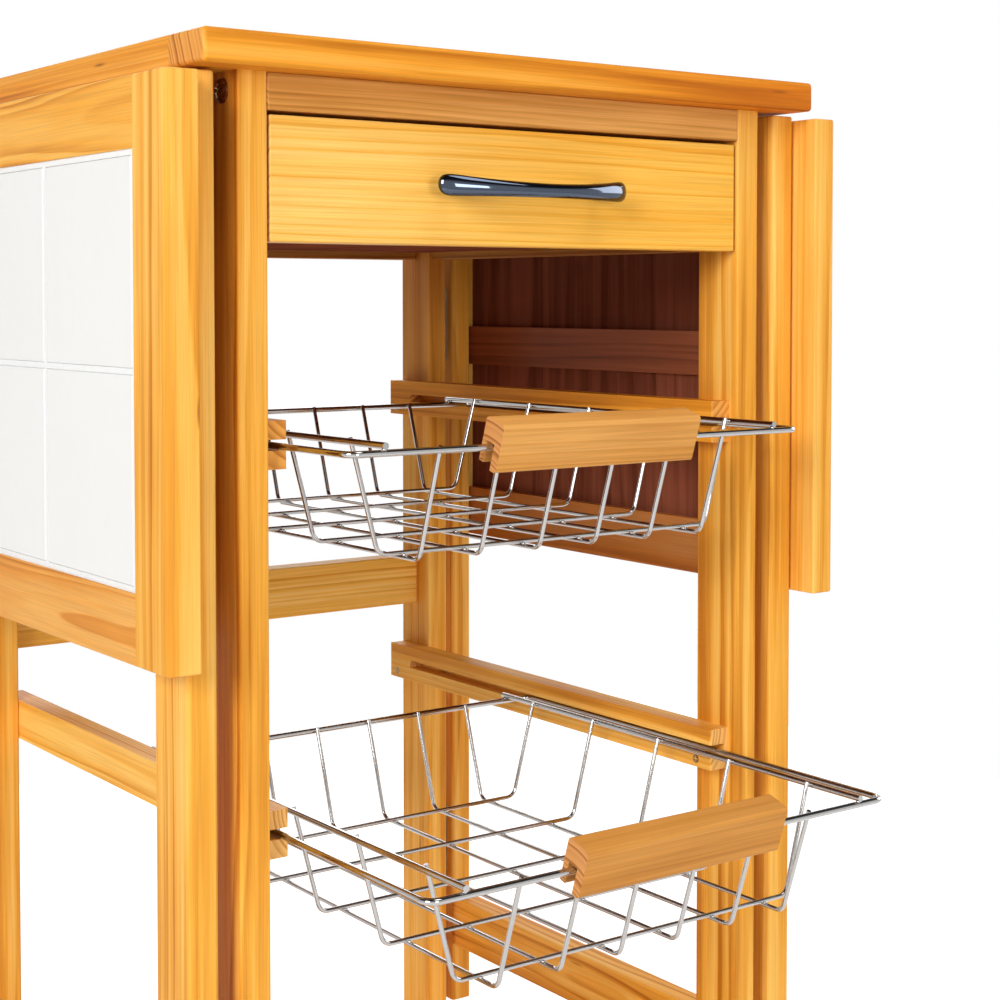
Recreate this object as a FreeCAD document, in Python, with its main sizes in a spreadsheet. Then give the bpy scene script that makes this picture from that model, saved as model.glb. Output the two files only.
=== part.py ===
import FreeCAD, Part
import math
import os
import re
from FreeCAD import Placement, Rotation, Vector

# Kitchen storage cart on casters, with a drawer, two sliding wire baskets and two drop leaves.
# Millimetres. X is across the cart, Y runs from the drawer front (-Y) to the back, Z is up.
# The origin is on the floor, under the middle of the top.

# Driving dimensions: the sheet's word, the size, and what it measures.
SIZES = [
    ("height", 750, "floor to the top's surface"),
    ("top_width", 370, "top, across"),
    ("top_depth", 366, "top, front to back"),
    ("top_thick", 15.5, "top's wood frame"),
    ("batten_width", 33.5, "top's frame members"),
    ("top_round", 2.2, "rounding of the top's outer edges"),
    ("edge_round", 1, "softened edges of rails and boards"),
    ("tile_thick", 6, "tile"),
    ("tile_sink", 0.5, "tile face below the wood around it"),
    ("tile_gap", 2.8, "grout line"),
    ("tile_round", 1, "rounding of a tile's edges"),
    ("grout_sink", 0.3, "grout below the tile face"),
    ("board_thick", 4, "backing board under the tiles"),
    ("board_tongue", 5, "backing board's edge in its groove"),
    ("leg_thick", 15.5, "leg, across"),
    ("leg_depth", 31.5, "leg, front to back"),
    ("leg_inset_side", 25, "top's side to the leg's outer face"),
    ("leg_inset_end", 16.5, "top's front or back to the leg"),
    ("leg_round", 1.5, "rounding of a leg's long edges"),
    ("front_rail_height", 17, "rail above the drawer"),
    ("front_rail_depth", 28, "rail above the drawer, front to back"),
    ("apron_height", 76, "side and rear aprons"),
    ("apron_thick", 12, "side aprons"),
    ("rear_rail_thick", 15.5, "rear apron and cross rail"),
    ("rear_rail_inset", 3, "rear rails from the back of the legs"),
    ("cross_rail_drop", 293, "top's surface down to the cross rail"),
    ("cross_rail_height", 32.5, "cross rail"),
    ("low_rail_lift", 28, "foot of the legs up to the lower rails"),
    ("low_rail_height", 32, "lower rails"),
    ("low_rail_thick", 15.5, "lower rails"),
    ("slat_width", 44, "bottom shelf slat"),
    ("slat_thick", 10, "bottom shelf slat"),
    ("bolt_radius", 2.5, "bolt shank"),
    ("bolt_bite", 20, "bolt in the rail's end"),
    ("bolt_head_radius", 5.7, "bolt head"),
    ("bolt_rim", 1, "straight rim of a bolt head"),
    ("bolt_dome", 1.8, "dome of a bolt head"),
    ("bolt_crown", 3.2, "radius of the flat on a bolt head"),
    ("drawer_gap_side", 1.3, "drawer front to the legs"),
    ("drawer_gap_top", 1.9, "drawer front to the rail above"),
    ("drawer_front_height", 57.6, "drawer front"),
    ("drawer_front_thick", 14, "drawer front"),
    ("drawer_set_back", 1, "drawer front behind the legs' face"),
    ("drawer_rear_gap", 15, "drawer back to the rear apron"),
    ("drawer_side_gap", 2, "drawer side to the legs"),
    ("drawer_side_thick", 12, "drawer sides and back"),
    ("drawer_side_drop", 4, "drawer front's top down to the sides"),
    ("drawer_side_height", 45, "drawer sides"),
    ("drawer_bottom_thick", 3.5, "drawer bottom"),
    ("drawer_runner_height", 10, "drawer runner"),
    ("drawer_runner_bite", 6, "drawer runner in the side's groove"),
    ("run_gap", 0.3, "running gap between sliding wood faces"),
    ("handle_span", 108, "handle, between the middles of its rounded ends"),
    ("handle_post_inset", 8, "handle's end to the middle of its post"),
    ("handle_post", 13, "handle post in front of the drawer"),
    ("handle_post_radius", 3.6, "handle post"),
    ("handle_reach", 23, "handle's middle in front of the drawer"),
    ("handle_droop", 2, "handle's middle below its ends"),
    ("handle_cap", 4, "rounded end of a handle, along it"),
    ("handle_lip", 0.3, "rounded end proud of the bar"),
    ("handle_end_half", 2.6, "half depth of a handle's end"),
    ("handle_end_rise", 5.8, "half height of a handle's end"),
    ("handle_bar_half", 3.3, "half depth of the handle's middle"),
    ("handle_bar_rise", 3.5, "half height of the handle's middle"),
    ("screw_radius", 2, "handle screw"),
    ("screw_bite", 7, "screw in the handle foot"),
    ("screw_head_radius", 4, "handle screw head"),
    ("screw_head_height", 2.2, "handle screw head"),
    ("runner_thick", 12.5, "basket runner, across"),
    ("runner_height", 22.5, "basket runner"),
    ("runner_front_inset", 6, "leg's front face to the runner's end"),
    ("runner_rear_inset", 5, "leg's back face to the runner's end"),
    ("runner_round", 1, "rounding of a runner's front end"),
    ("upper_runner_drop", 173.5, "top's surface down to the upper runners"),
    ("lower_runner_drop", 353.5, "top's surface down to the lower runners"),
    ("groove_height", 5, "groove for the basket rim"),
    ("groove_depth", 10, "groove for the basket rim"),
    ("groove_stop", 23.5, "groove's closed end from the runner's end"),
    ("rim_wire", 3.2, "diameter of rim and side bar wire"),
    ("mesh_wire", 2.2, "diameter of mesh wire"),
    ("rim_side_gap", 4.6, "rim's side to the bottom of its groove"),
    ("rim_short", 6, "rim shorter than its groove"),
    ("rim_corner", 6, "bend of the rim's corners"),
    ("side_bar_inset", 18, "rim's side to the side bar"),
    ("basket_drop", 52, "rim down to the basket's bottom"),
    ("long_lean", 17, "slope of the front and rear walls"),
    ("cross_lean", 14, "slope of the side walls"),
    ("wire_bend", 6, "bend of the mesh wires"),
    ("wire_nub", 0.8, "mesh wire end above the rim's middle"),
    ("long_wire_edge", 14.3, "side bar to the field of long wires"),
    ("cross_wire_edge", 3.75, "rim's end to the field of cross wires"),
    ("weld_gap", 0.05, "between welded wires"),
    ("upper_pull", 64.5, "upper basket, pulled out"),
    ("lower_pull", 125.5, "lower basket, pulled out"),
    ("rear_play", 0.5, "pushed-in rim to the groove's end"),
    ("grip_length", 119.5, "basket grip, across"),
    ("grip_front", 6.7, "rim to the grip's front face"),
    ("grip_back", 7.5, "rim to the grip's back face"),
    ("grip_above", 12.7, "rim to the grip's top"),
    ("grip_below", 10.8, "rim down to the front lip"),
    ("grip_back_below", 9, "rim down to the back lip"),
    ("grip_play", 0.2, "slot around rim and wires"),
    ("grip_round", 2, "rounding of a grip's edges"),
    ("leaf_gap", 2.3, "top's side to the leaf's inner face"),
    ("leaf_thick", 16, "leaf"),
    ("leaf_height", 262, "leaf, hanging"),
    ("leaf_frame", 32.5, "leaf's stiles and rails"),
    ("leaf_round", 4, "rounding of a leaf's outer ends"),
    ("leaf_reveal", 0.85, "hinge axis down to the leaf's edge"),
    ("back_rail_height", 26, "rail behind the leaf's board"),
    ("back_rail_thick", 5, "rail behind the leaf's board"),
    ("hinge_offset", 0.15, "hinge axis outside the top's side"),
    ("hinge_length", 40, "leaf hinge"),
    ("hinge_spacing", 166, "leaf hinges, centre to centre"),
    ("hinge_plate_thick", 1, "leaf hinge plates"),
    ("hinge_plate_width", 22, "leaf hinge plates, from the axis"),
    ("hinge_barrel", 2.1, "leaf hinge barrel radius"),
    ("hinge_pin", 1.1, "leaf hinge pin radius"),
    ("hinge_clear", 0.35, "plate edges clear of the barrel"),
    ("pin_play", 0.05, "pin in a moving knuckle"),
    ("knuckle_gap", 0.3, "between knuckles"),
    ("gate_leaf_gap", 1, "gate to the leaf"),
    ("gate_thick", 15.2, "gate, across"),
    ("gate_post_depth", 34, "gate posts, front to back"),
    ("gate_front_inset", 16, "top's front to the gate"),
    ("gate_rear_inset", 5, "top's back to the gate"),
    ("gate_top_gap", 1.5, "gate below the top"),
    ("gate_rail_height", 33.5, "gate rails"),
    ("gate_high_rail_drop", 32, "top's surface down to the upper gate rail"),
    ("gate_low_rail_drop", 533, "top's surface down to the lower gate rail"),
    ("gate_foot", 40, "gate posts below the lower rail"),
    ("post_round", 2.5, "rounding of a gate post's long edges"),
    ("gate_hinge_length", 50, "gate hinge"),
    ("gate_hinge_high", 110, "top's surface down to the upper gate hinge"),
    ("gate_hinge_low", 470, "top's surface down to the lower gate hinge"),
    ("gate_barrel", 3, "gate hinge barrel radius"),
    ("gate_pin", 1.6, "gate hinge pin radius"),
    ("gate_plate_thick", 1.5, "gate hinge plates"),
    ("gate_plate_width", 19, "gate hinge plates"),
    ("caster_height", 52, "floor to the foot of the legs"),
    ("caster_gap", 0.3, "caster boss below the leg"),
    ("caster_trail", 13, "swivel axis to the wheel axle"),
    ("wheel_radius", 19, "caster wheel"),
    ("wheel_width", 8, "caster wheel"),
    ("wheel_round", 2, "rounding of a wheel's tread"),
    ("wheel_dish", 1.5, "hollow in a wheel's outer face"),
    ("wheel_lip", 5, "rim of a wheel around that hollow"),
    ("wheel_play", 0.4, "wheel to the fork's web"),
    ("web_thick", 10, "fork's web between the wheels"),
    ("web_half", 8, "half length of the fork's web"),
    ("hood_gap", 1.2, "hood clear of the wheels"),
    ("hood_thick", 2.5, "hood"),
    ("boss_radius", 9, "fork's swivel boss"),
    ("stem_radius", 4, "caster stem"),
    ("stem_length", 38, "caster stem in the leg"),
    ("axle_radius", 2.5, "wheel axle"),
]
WORDS = {word for word, value, note in SIZES}

# Counts
TILE_COUNT = 3
LEAF_ROW_COUNT = 2
SLAT_COUNT = 5
WIRES_ALONG_COUNT = 6
WIRES_ACROSS_COUNT = 5

# Sections of the handle's bar from its left end to the middle: place across, reach and droop as shares of the
# whole, heading in degrees, and how much of the end's height is left.
HANDLE_BAR = [(-1, 0.42, 0, 66, 1), (-0.68, 0.73, 0.5, 72, 0.5), (-0.34, 0.93, 0.88, 81, 0.14), (0, 1, 1, 90, 0)]

SIDES = {"left": -1, "right": 1}
ENDS = {"front": -1, "rear": 1}

doc = FreeCAD.newDocument("kitchen_cart")
sheet = doc.addObject("Spreadsheet::Sheet", "Sizes")
for row, (word, value, note) in enumerate(SIZES, 1):
    sheet.set(f"A{row}", note)
    sheet.set(f"B{row}", str(value))
    sheet.setAlias(f"B{row}", word)
doc.recompute()

nodes = []


def mm(word):
    """A driving dimension as a number."""
    return float(sheet.get(word))


def formula(text):
    """The same sum, with each of the sheet's words read from the sheet."""
    return re.sub(r"[a-z_]+", lambda found: "Sizes." + found[0] if found[0] in WORDS else found[0], text)


def bind(piece, name, text):
    piece.setExpression(name, formula(text))


def place(piece, corner):
    for axis, text in zip("xyz", corner):
        bind(piece, f"Placement.Base.{axis}", text)


def span_from(side, near, far):
    """The span between two distances from the cart's middle, on the side given by a sign."""
    return (near, far) if side > 0 else (f"-({far})", f"-({near})")


def both(distance):
    return (f"-({distance})", distance)


def keep(piece, label):
    """Makes a piece one of the cart's sub-parts."""
    piece.Label = label
    nodes.append(piece)
    return piece


def group(label, pieces):
    """Pieces of one kind that share a sub-part, each still a solid of its own."""
    together = doc.addObject("Part::Compound", label)
    together.Links = pieces
    return keep(together, label)


def pick_edges(shape, rule):
    """Edges by rule: "Z:-Y" is every edge along Z on the -Y side, and "|" joins rules."""
    chosen = []
    for number, edge in enumerate(shape.Edges, 1):
        run = edge.Vertexes[-1].Point - edge.Vertexes[0].Point
        axis = max("XYZ", key=lambda name: abs(getattr(run, name.lower())))
        off = edge.CenterOfMass - shape.BoundBox.Center
        for part in rule.split("|"):
            along, _, sides = part.partition(":")
            marks = re.findall(r"([+-])([XYZ])", sides)
            on_side = all(getattr(off, name.lower()) * float(sign + "1") > 0.01 for sign, name in marks)
            if axis in along and on_side:
                chosen.append(f"Edge{number}")
                break
    return chosen


def stretch(block, spans):
    for name, (low, high) in zip(("Length", "Width", "Height"), spans):
        bind(block, name, f"({high}) - ({low})")


def board(name, x, y, z, rounds=(), cuts=(), holes=()):
    """A straight piece between three spans, with rounded edges, box cuts and round holes along X or Z."""
    spans = (x, y, z)
    corner = [low for low, high in spans]
    body = doc.addObject("PartDesign::Body", name)
    place(body, corner)
    block = body.newObject("PartDesign::AdditiveBox", name + "_block")
    stretch(block, spans)
    for rule, radius in rounds:
        doc.recompute()
        last = body.Tip
        rounding = body.newObject("PartDesign::Fillet", name + "_round")
        rounding.Base = (last, pick_edges(last.Shape, rule))
        bind(rounding, "Radius", radius)
    for cut_spans in cuts:
        cut = body.newObject("PartDesign::SubtractiveBox", name + "_cut")
        stretch(cut, cut_spans)
        place(cut, [f"({low}) - ({own})" for (low, high), own in zip(cut_spans, corner)])
    for axis, start, length, radius in holes:
        hole = body.newObject("PartDesign::SubtractiveCylinder", name + "_hole")
        bind(hole, "Radius", radius)
        bind(hole, "Height", length)
        if axis == "X":
            hole.Placement = Placement(Vector(), Rotation(Vector(0, 1, 0), 90))
        place(hole, [f"({low}) - ({own})" for low, own in zip(start, corner)])
    return body


def box(name, x, y, z):
    block = doc.addObject("Part::Box", name)
    stretch(block, (x, y, z))
    place(block, (x[0], y[0], z[0]))
    return block


TURN_TO = {"X": Rotation(Vector(0, 1, 0), 90), "Y": Rotation(Vector(1, 0, 0), -90), "Z": Rotation(),
           "-Y": Rotation(Vector(1, 0, 0), 90)}


def rod(name, axis, span, centre, radius):
    """A round bar along one axis; centre gives its place on the other two."""
    bar = doc.addObject("Part::Cylinder", name)
    bind(bar, "Radius", radius)
    bind(bar, "Height", f"({span[1]}) - ({span[0]})")
    bar.Placement = Placement(Vector(), TURN_TO[axis])
    start = list(centre)
    start.insert("XYZ".index(axis), span[0])
    place(bar, start)
    return bar


def fuse(name, pieces):
    joined = doc.addObject("Part::MultiFuse", name)
    joined.Shapes = pieces
    return joined


def cut(name, base, tool):
    left = doc.addObject("Part::Cut", name)
    left.Base = base
    left.Tool = tool
    return left


# Planes that several pieces share, as sums of the driving dimensions.
SIDE = "(top_width / 2)"
END = "(top_depth / 2)"
UNDER = "(height - top_thick)"
LEG_OUT = f"({SIDE} - leg_inset_side)"
LEG_IN = f"({LEG_OUT} - leg_thick)"
LEG_FAR = f"({END} - leg_inset_end)"
LEG_NEAR = f"({LEG_FAR} - leg_depth)"
REAR_RAIL = (f"({LEG_FAR} - rear_rail_inset - rear_rail_thick)", f"({LEG_FAR} - rear_rail_inset)")
LOW_RAIL = ("(caster_height + low_rail_lift)", "(caster_height + low_rail_lift + low_rail_height)")
FRONT_RAIL_LOW = f"({UNDER} - front_rail_height)"
CROSS_RAIL = ("(height - cross_rail_drop - cross_rail_height)", "(height - cross_rail_drop)")
LEAF_IN = f"({SIDE} + leaf_gap)"
LEAF_OUT = f"({LEAF_IN} + leaf_thick)"
HINGE_X = f"({SIDE} + hinge_offset)"
HINGE_Z = "(height - leaf_gap - leaf_thick + hinge_offset)"
LEAF_TOP = f"({HINGE_Z} - leaf_reveal)"
LEAF_LOW = f"({LEAF_TOP} - leaf_height)"
GATE_OUT = f"({LEAF_IN} - gate_leaf_gap)"
GATE_IN = f"({GATE_OUT} - gate_thick)"

SOFT = [("XYZ", "edge_round")]


def bolt_places():
    """Each bolt as the leg's side and end, its place along Y, and its height."""
    places = []
    for side in SIDES.values():
        front_y = f"(-{LEG_FAR} + front_rail_depth / 2)"
        rear_y = f"({LEG_FAR} - rear_rail_inset - rear_rail_thick / 2)"
        low_y = f"({LEG_FAR} - low_rail_thick / 2)"
        low_z = "(caster_height + low_rail_lift + low_rail_height / 2)"
        places.append((side, -1, front_y, f"({UNDER} - front_rail_height / 2)"))
        places.append((side, 1, rear_y, f"({UNDER} - apron_height / 2)"))
        places.append((side, 1, rear_y, "(height - cross_rail_drop - cross_rail_height / 2)"))
        places.append((side, -1, f"(-{low_y})", low_z))
        places.append((side, 1, low_y, low_z))
    return places


def rail_holes(end, height):
    """Bolt holes in both ends of a rail that runs across between two legs."""
    found = []
    for side, bolt_end, y, z in bolt_places():
        if bolt_end == end and z == height:
            low, high = span_from(side, f"{LEG_IN} - bolt_bite", LEG_IN)
            found.append(("X", (low, y, z), "bolt_bite", "bolt_radius"))
    return found


def tiled_panel(prefix, axes, spans, counts, tile_depth, grout_depth, face):
    """A field of tiles in grout; axes are the panel's two directions and face its outer side."""
    normal = face[1]
    tiles = []
    pockets = []
    lows = []
    for axis, (low, high), count in zip(axes, spans, counts):
        size = f"((({high}) - ({low}) - {count + 1} * tile_gap) / {count})"
        steps = [f"({low} + tile_gap + {step} * ({size} + tile_gap))" for step in range(count)]
        lows.append([(start, f"({start} + {size})") for start in steps])
    for first in lows[0]:
        for second in lows[1]:
            place_of = {axes[0]: first, axes[1]: second, normal: tile_depth}
            pocket = {axes[0]: first, axes[1]: second, normal: grout_depth}
            tile_spans = [place_of[axis] for axis in "XYZ"]
            pockets.append([pocket[axis] for axis in "XYZ"])
            rounds = [(f"{axes}:{face}|{normal}", "tile_round")]
            tiles.append(board(prefix + "_tile", *tile_spans, rounds=rounds))
    field = {axes[0]: spans[0], axes[1]: spans[1], normal: grout_depth}
    grout = board(prefix + "_grout", *[field[axis] for axis in "XYZ"], cuts=pockets)
    group(prefix + "_tiles", tiles)
    keep(grout, prefix + "_grout")


def make_top():
    inner_x = f"({SIDE} - batten_width)"
    inner_y = f"({END} - batten_width)"
    level = (UNDER, "height")
    tile = ("(height - tile_sink - tile_thick)", "(height - tile_sink)")
    under_tile = (f"({tile[0]} - board_thick)", tile[0])
    grout = (tile[0], f"({tile[1]} - grout_sink)")
    tongue_x = f"({inner_x} + board_tongue)"
    tongue_y = f"({inner_y} + board_tongue)"
    battens = []
    rails = []
    for name, end in ENDS.items():
        mark = "+Y" if end > 0 else "-Y"
        rule = f"X:{mark}|Y|Z:{mark}"
        groove = (both(tongue_x), span_from(end, inner_y, tongue_y), under_tile)
        battens.append(board(f"top_batten_{name}", both(SIDE), span_from(end, inner_y, END), level,
                             rounds=[(rule, "top_round")], cuts=[groove]))
    for name, side in SIDES.items():
        mark = "+X" if side > 0 else "-X"
        groove = (span_from(side, inner_x, tongue_x), both(inner_y), under_tile)
        rails.append(board(f"top_rail_{name}", span_from(side, inner_x, SIDE), both(inner_y), level,
                           rounds=[(f"Y:{mark}", "top_round")], cuts=[groove]))
    group("top_battens", battens)
    group("top_side_rails", rails)
    keep(board("top_board", both(tongue_x), both(tongue_y), under_tile), "top_backing_board")
    tiled_panel("top", "XY", (both(inner_x), both(inner_y)), (TILE_COUNT, TILE_COUNT),
                tile, grout, "+Z")


def make_legs():
    for end_name, end in ENDS.items():
        legs = []
        for side_name, side in SIDES.items():
            x = span_from(side, LEG_IN, LEG_OUT)
            y = span_from(end, LEG_NEAR, LEG_FAR)
            stem = (f"({x[0]} + leg_thick / 2)", f"({y[0]} + leg_depth / 2)", "caster_height")
            holes = [("Z", stem, "stem_length", "(stem_radius + pin_play)")]
            for bolt_side, bolt_end, bolt_y, bolt_z in bolt_places():
                if (bolt_side, bolt_end) == (side, end):
                    holes.append(("X", (x[0], bolt_y, bolt_z), "leg_thick", "bolt_radius"))
            legs.append(board(f"leg_{end_name}_{side_name}", x, y, ("caster_height", UNDER),
                              rounds=[("Z", "leg_round")], holes=holes))
        group(f"{end_name}_legs", legs)


def make_rails():
    apron = (f"({UNDER} - apron_height)", UNDER)
    front = (f"-{LEG_FAR}", f"(-{LEG_FAR} + front_rail_depth)")
    front_holes = rail_holes(-1, f"({UNDER} - front_rail_height / 2)")
    keep(board("front_rail", both(LEG_IN), front, (FRONT_RAIL_LOW, UNDER), rounds=SOFT, holes=front_holes),
         "front_top_rail")
    apron_holes = rail_holes(1, f"({UNDER} - apron_height / 2)")
    keep(board("rear_board", both(LEG_IN), REAR_RAIL, apron, rounds=SOFT, holes=apron_holes), "rear_apron")
    cross_holes = rail_holes(1, "(height - cross_rail_drop - cross_rail_height / 2)")
    keep(board("rear_cross", both(LEG_IN), REAR_RAIL, CROSS_RAIL, rounds=SOFT, holes=cross_holes),
         "rear_cross_rail")
    aprons = []
    low_sides = []
    low_ends = []
    for name, side in SIDES.items():
        x = span_from(side, f"{LEG_OUT} - apron_thick", LEG_OUT)
        aprons.append(board(f"apron_{name}", x, both(LEG_NEAR), apron, rounds=SOFT))
        x = span_from(side, f"{LEG_OUT} - low_rail_thick", LEG_OUT)
        low_sides.append(board(f"low_rail_{name}", x, both(LEG_NEAR), LOW_RAIL, rounds=SOFT))
    for name, end in ENDS.items():
        y = span_from(end, f"{LEG_FAR} - low_rail_thick", LEG_FAR)
        holes = rail_holes(end, "(caster_height + low_rail_lift + low_rail_height / 2)")
        low_ends.append(board(f"low_rail_{name}", both(LEG_IN), y, LOW_RAIL, rounds=SOFT, holes=holes))
    group("side_aprons", aprons)
    group("lower_side_rails", low_sides)
    group("lower_end_rails", low_ends)


def make_shelf():
    gap = f"((2 * {LEG_NEAR} - {SLAT_COUNT} * slat_width) / {SLAT_COUNT + 1})"
    slats = []
    for step in range(SLAT_COUNT):
        low = f"(-{LEG_NEAR} + {gap} + {step} * (slat_width + {gap}))"
        slats.append(board("shelf_slat", both(LEG_OUT), (low, f"({low} + slat_width)"),
                           (LOW_RAIL[1], f"({LOW_RAIL[1]} + slat_thick)"), rounds=SOFT))
    group("shelf_slats", slats)


def make_bolts():
    bolts = []
    for side, _, y, z in bolt_places():
        shank = rod("bolt_shank", "X", span_from(side, f"({LEG_IN} - bolt_bite)", LEG_OUT), (y, z), "bolt_radius")
        rim = rod("bolt_rim", "X", span_from(side, LEG_OUT, f"({LEG_OUT} + bolt_rim)"), (y, z), "bolt_head_radius")
        dome = doc.addObject("Part::Cone", "bolt_dome")
        bind(dome, "Radius1", "bolt_head_radius")
        bind(dome, "Radius2", "bolt_crown")
        bind(dome, "Height", "bolt_dome")
        dome.Placement = Placement(Vector(), Rotation(Vector(0, 1, 0), 90 * side))
        place(dome, (f"{side} * ({LEG_OUT} + bolt_rim)", y, z))
        bolts.append(fuse("bolt", [shank, rim, dome]))
    group("frame_bolts", bolts)


DRAWER_OUT = f"({LEG_IN} - drawer_side_gap)"
DRAWER_FACE = f"(-{LEG_FAR} + drawer_set_back)"
DRAWER_INNER = f"({DRAWER_FACE} + drawer_front_thick)"
DRAWER_BACK = f"({REAR_RAIL[0]} - drawer_rear_gap)"
DRAWER_TOP = f"({FRONT_RAIL_LOW} - drawer_gap_top)"
DRAWER_SIDE_TOP = f"({DRAWER_TOP} - drawer_side_drop)"
DRAWER_SIDE_LOW = f"({DRAWER_SIDE_TOP} - drawer_side_height)"
DRAWER_RUN_LOW = f"({DRAWER_SIDE_LOW} + (drawer_side_height - drawer_runner_height) / 2)"
DRAWER_RUN = (DRAWER_RUN_LOW, f"({DRAWER_RUN_LOW} + drawer_runner_height)")
HANDLE_Z = f"({DRAWER_TOP} - drawer_front_height / 2)"


def make_drawer():
    screw_places = [f"{side} * (handle_span / 2 - handle_post_inset)" for side in SIDES.values()]
    front = board("drawer_face", both(f"({LEG_IN} - drawer_gap_side)"), (DRAWER_FACE, DRAWER_INNER),
                  (f"({DRAWER_TOP} - drawer_front_height)", DRAWER_TOP), rounds=[("XYZ:-Y|Y", "edge_round")])
    bores = [rod("screw_bore", "Y", (DRAWER_FACE, DRAWER_INNER), (x, HANDLE_Z), "screw_radius")
             for x in screw_places]
    keep(cut("drawer_front", front, fuse("screw_bores", bores)), "drawer_front")
    box_level = (DRAWER_SIDE_LOW, DRAWER_SIDE_TOP)
    inner = f"({DRAWER_OUT} - drawer_side_thick)"
    sides = []
    runners = []
    for name, side in SIDES.items():
        bite = f"({DRAWER_OUT} - drawer_runner_bite)"
        groove = (span_from(side, f"({bite} - run_gap)", DRAWER_OUT), (f"(-{LEG_NEAR} - run_gap)", DRAWER_BACK),
                  (f"({DRAWER_RUN[0]} - 2 * run_gap)", f"({DRAWER_RUN[1]} + run_gap)"))
        sides.append(board(f"drawer_side_{name}", span_from(side, inner, DRAWER_OUT),
                           (DRAWER_INNER, DRAWER_BACK), box_level, cuts=[groove]))
        runners.append(board(f"drawer_runner_{name}", span_from(side, bite, f"({LEG_OUT} - apron_thick)"),
                             both(LEG_NEAR), DRAWER_RUN))
    group("drawer_sides", sides)
    group("drawer_runners", runners)
    keep(board("drawer_end", both(inner), (f"({DRAWER_BACK} - drawer_side_thick)", DRAWER_BACK), box_level),
         "drawer_back")
    floor = (f"({DRAWER_SIDE_LOW} - drawer_bottom_thick)", DRAWER_SIDE_LOW)
    keep(board("drawer_floor", both(DRAWER_OUT), (DRAWER_INNER, DRAWER_BACK), floor), "drawer_bottom")
    make_handle(screw_places)


def make_handle(screw_places):
    """An arched bar, tall at its rounded ends and slim in the middle, on two posts with a screw in each."""
    sections = []
    caps = []
    mirrored = [(-across, out, droop, 180 - heading, end) for across, out, droop, heading, end in HANDLE_BAR[-2::-1]]
    for across, out, droop, heading, end in HANDLE_BAR + mirrored:
        oval = doc.addObject("Part::Ellipse", "handle_oval")
        upright = TURN_TO["-Y"] * Rotation(Vector(0, 0, 1), 90)
        oval.Placement = Placement(Vector(), Rotation(Vector(0, 0, 1), heading) * upright)
        place(oval, (f"{across} * handle_span / 2", f"{DRAWER_FACE} - {out} * handle_reach",
                     f"{HANDLE_Z} - {droop} * handle_droop"))
        bind(oval, "MajorRadius", f"handle_bar_rise + {end} * (handle_end_rise - handle_bar_rise)")
        bind(oval, "MinorRadius", f"handle_bar_half + {end} * (handle_end_half - handle_bar_half)")
        sections.append(oval)
        if abs(across) == 1:
            cap = doc.addObject("Part::Ellipsoid", "handle_cap")
            cap.Placement = Placement(Vector(), Rotation(Vector(0, 0, 1), heading - 90))
            place(cap, (f"{across} * handle_span / 2", f"{DRAWER_FACE} - {out} * handle_reach", HANDLE_Z))
            for radius, size in (("Radius1", "handle_end_rise + handle_lip"), ("Radius2", "handle_cap"),
                                 ("Radius3", "handle_end_half + handle_lip")):
                bind(cap, radius, size)
            caps.append(cap)
    bar = doc.addObject("Part::Loft", "handle_bar")
    bar.Sections = sections
    bar.Solid = True
    post_y = (f"({DRAWER_FACE} - handle_post)", DRAWER_FACE)
    posts = [rod("handle_post", "Y", post_y, (x, HANDLE_Z), "handle_post_radius") for x in screw_places]
    screws = []
    holes = []
    for x in screw_places:
        bite = f"({DRAWER_FACE} - screw_bite)"
        holes.append(rod("screw_hole", "Y", (bite, DRAWER_FACE), (x, HANDLE_Z), "screw_radius"))
        shank = rod("screw_shank", "Y", (bite, DRAWER_INNER), (x, HANDLE_Z), "screw_radius")
        head = rod("screw_head", "Y", (DRAWER_INNER, f"({DRAWER_INNER} + screw_head_height)"), (x, HANDLE_Z),
                   "screw_head_radius")
        screws.append(fuse("handle_screw", [shank, head]))
    keep(cut("handle", fuse("handle_solid", [bar] + caps + posts), fuse("handle_holes", holes)), "drawer_handle")
    group("handle_screws", screws)


RUNNER_IN = f"({LEG_IN} - runner_thick)"
RUNNER_FRONT = f"(-{LEG_FAR} + runner_front_inset)"
RUNNER_REAR = f"({LEG_FAR} - runner_rear_inset)"


def make_basket_runners(name, drop):
    top = f"(height - {drop})"
    middle = f"({top} - runner_height / 2)"
    runners = []
    for side_name, side in SIDES.items():
        groove = (span_from(side, RUNNER_IN, f"({RUNNER_IN} + groove_depth)"),
                  (RUNNER_FRONT, f"({RUNNER_REAR} - groove_stop)"),
                  (f"({middle} - groove_height / 2)", f"({middle} + groove_height / 2)"))
        inward = "-X" if side > 0 else "+X"
        rounds = [(f"Z:-Y{inward}", "runner_round")]
        runners.append(board(f"{name}_runner_{side_name}", span_from(side, RUNNER_IN, LEG_IN),
                             (RUNNER_FRONT, RUNNER_REAR), (f"({top} - runner_height)", top),
                             rounds=rounds, cuts=[groove]))
    group(f"{name}_basket_runners", runners)


def bent_path(points, radius, closed=False):
    """Straight runs between the points, joined by tangent arcs of one radius."""
    count = len(points)
    corners = range(count) if closed else range(1, count - 1)
    bends = {}
    for index in corners:
        corner = points[index]
        back = (points[index - 1] - corner).normalize()
        ahead = (points[(index + 1) % count] - corner).normalize()
        half = back.getAngle(ahead) / 2
        reach = radius / math.tan(half)
        inward = (back + ahead).normalize()
        middle = corner + inward * (radius / math.sin(half) - radius)
        bends[index] = (corner + back * reach, middle, corner + ahead * reach)
    edges = []
    for index in range(count if closed else count - 1):
        following = (index + 1) % count
        start = bends[index][2] if index in bends else points[index]
        stop = bends[following][0] if following in bends else points[following]
        edges.append(Part.LineSegment(start, stop).toShape())
        if following in bends:
            edges.append(Part.Arc(*bends[following]).toShape())
    return Part.Wire(edges)


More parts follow.
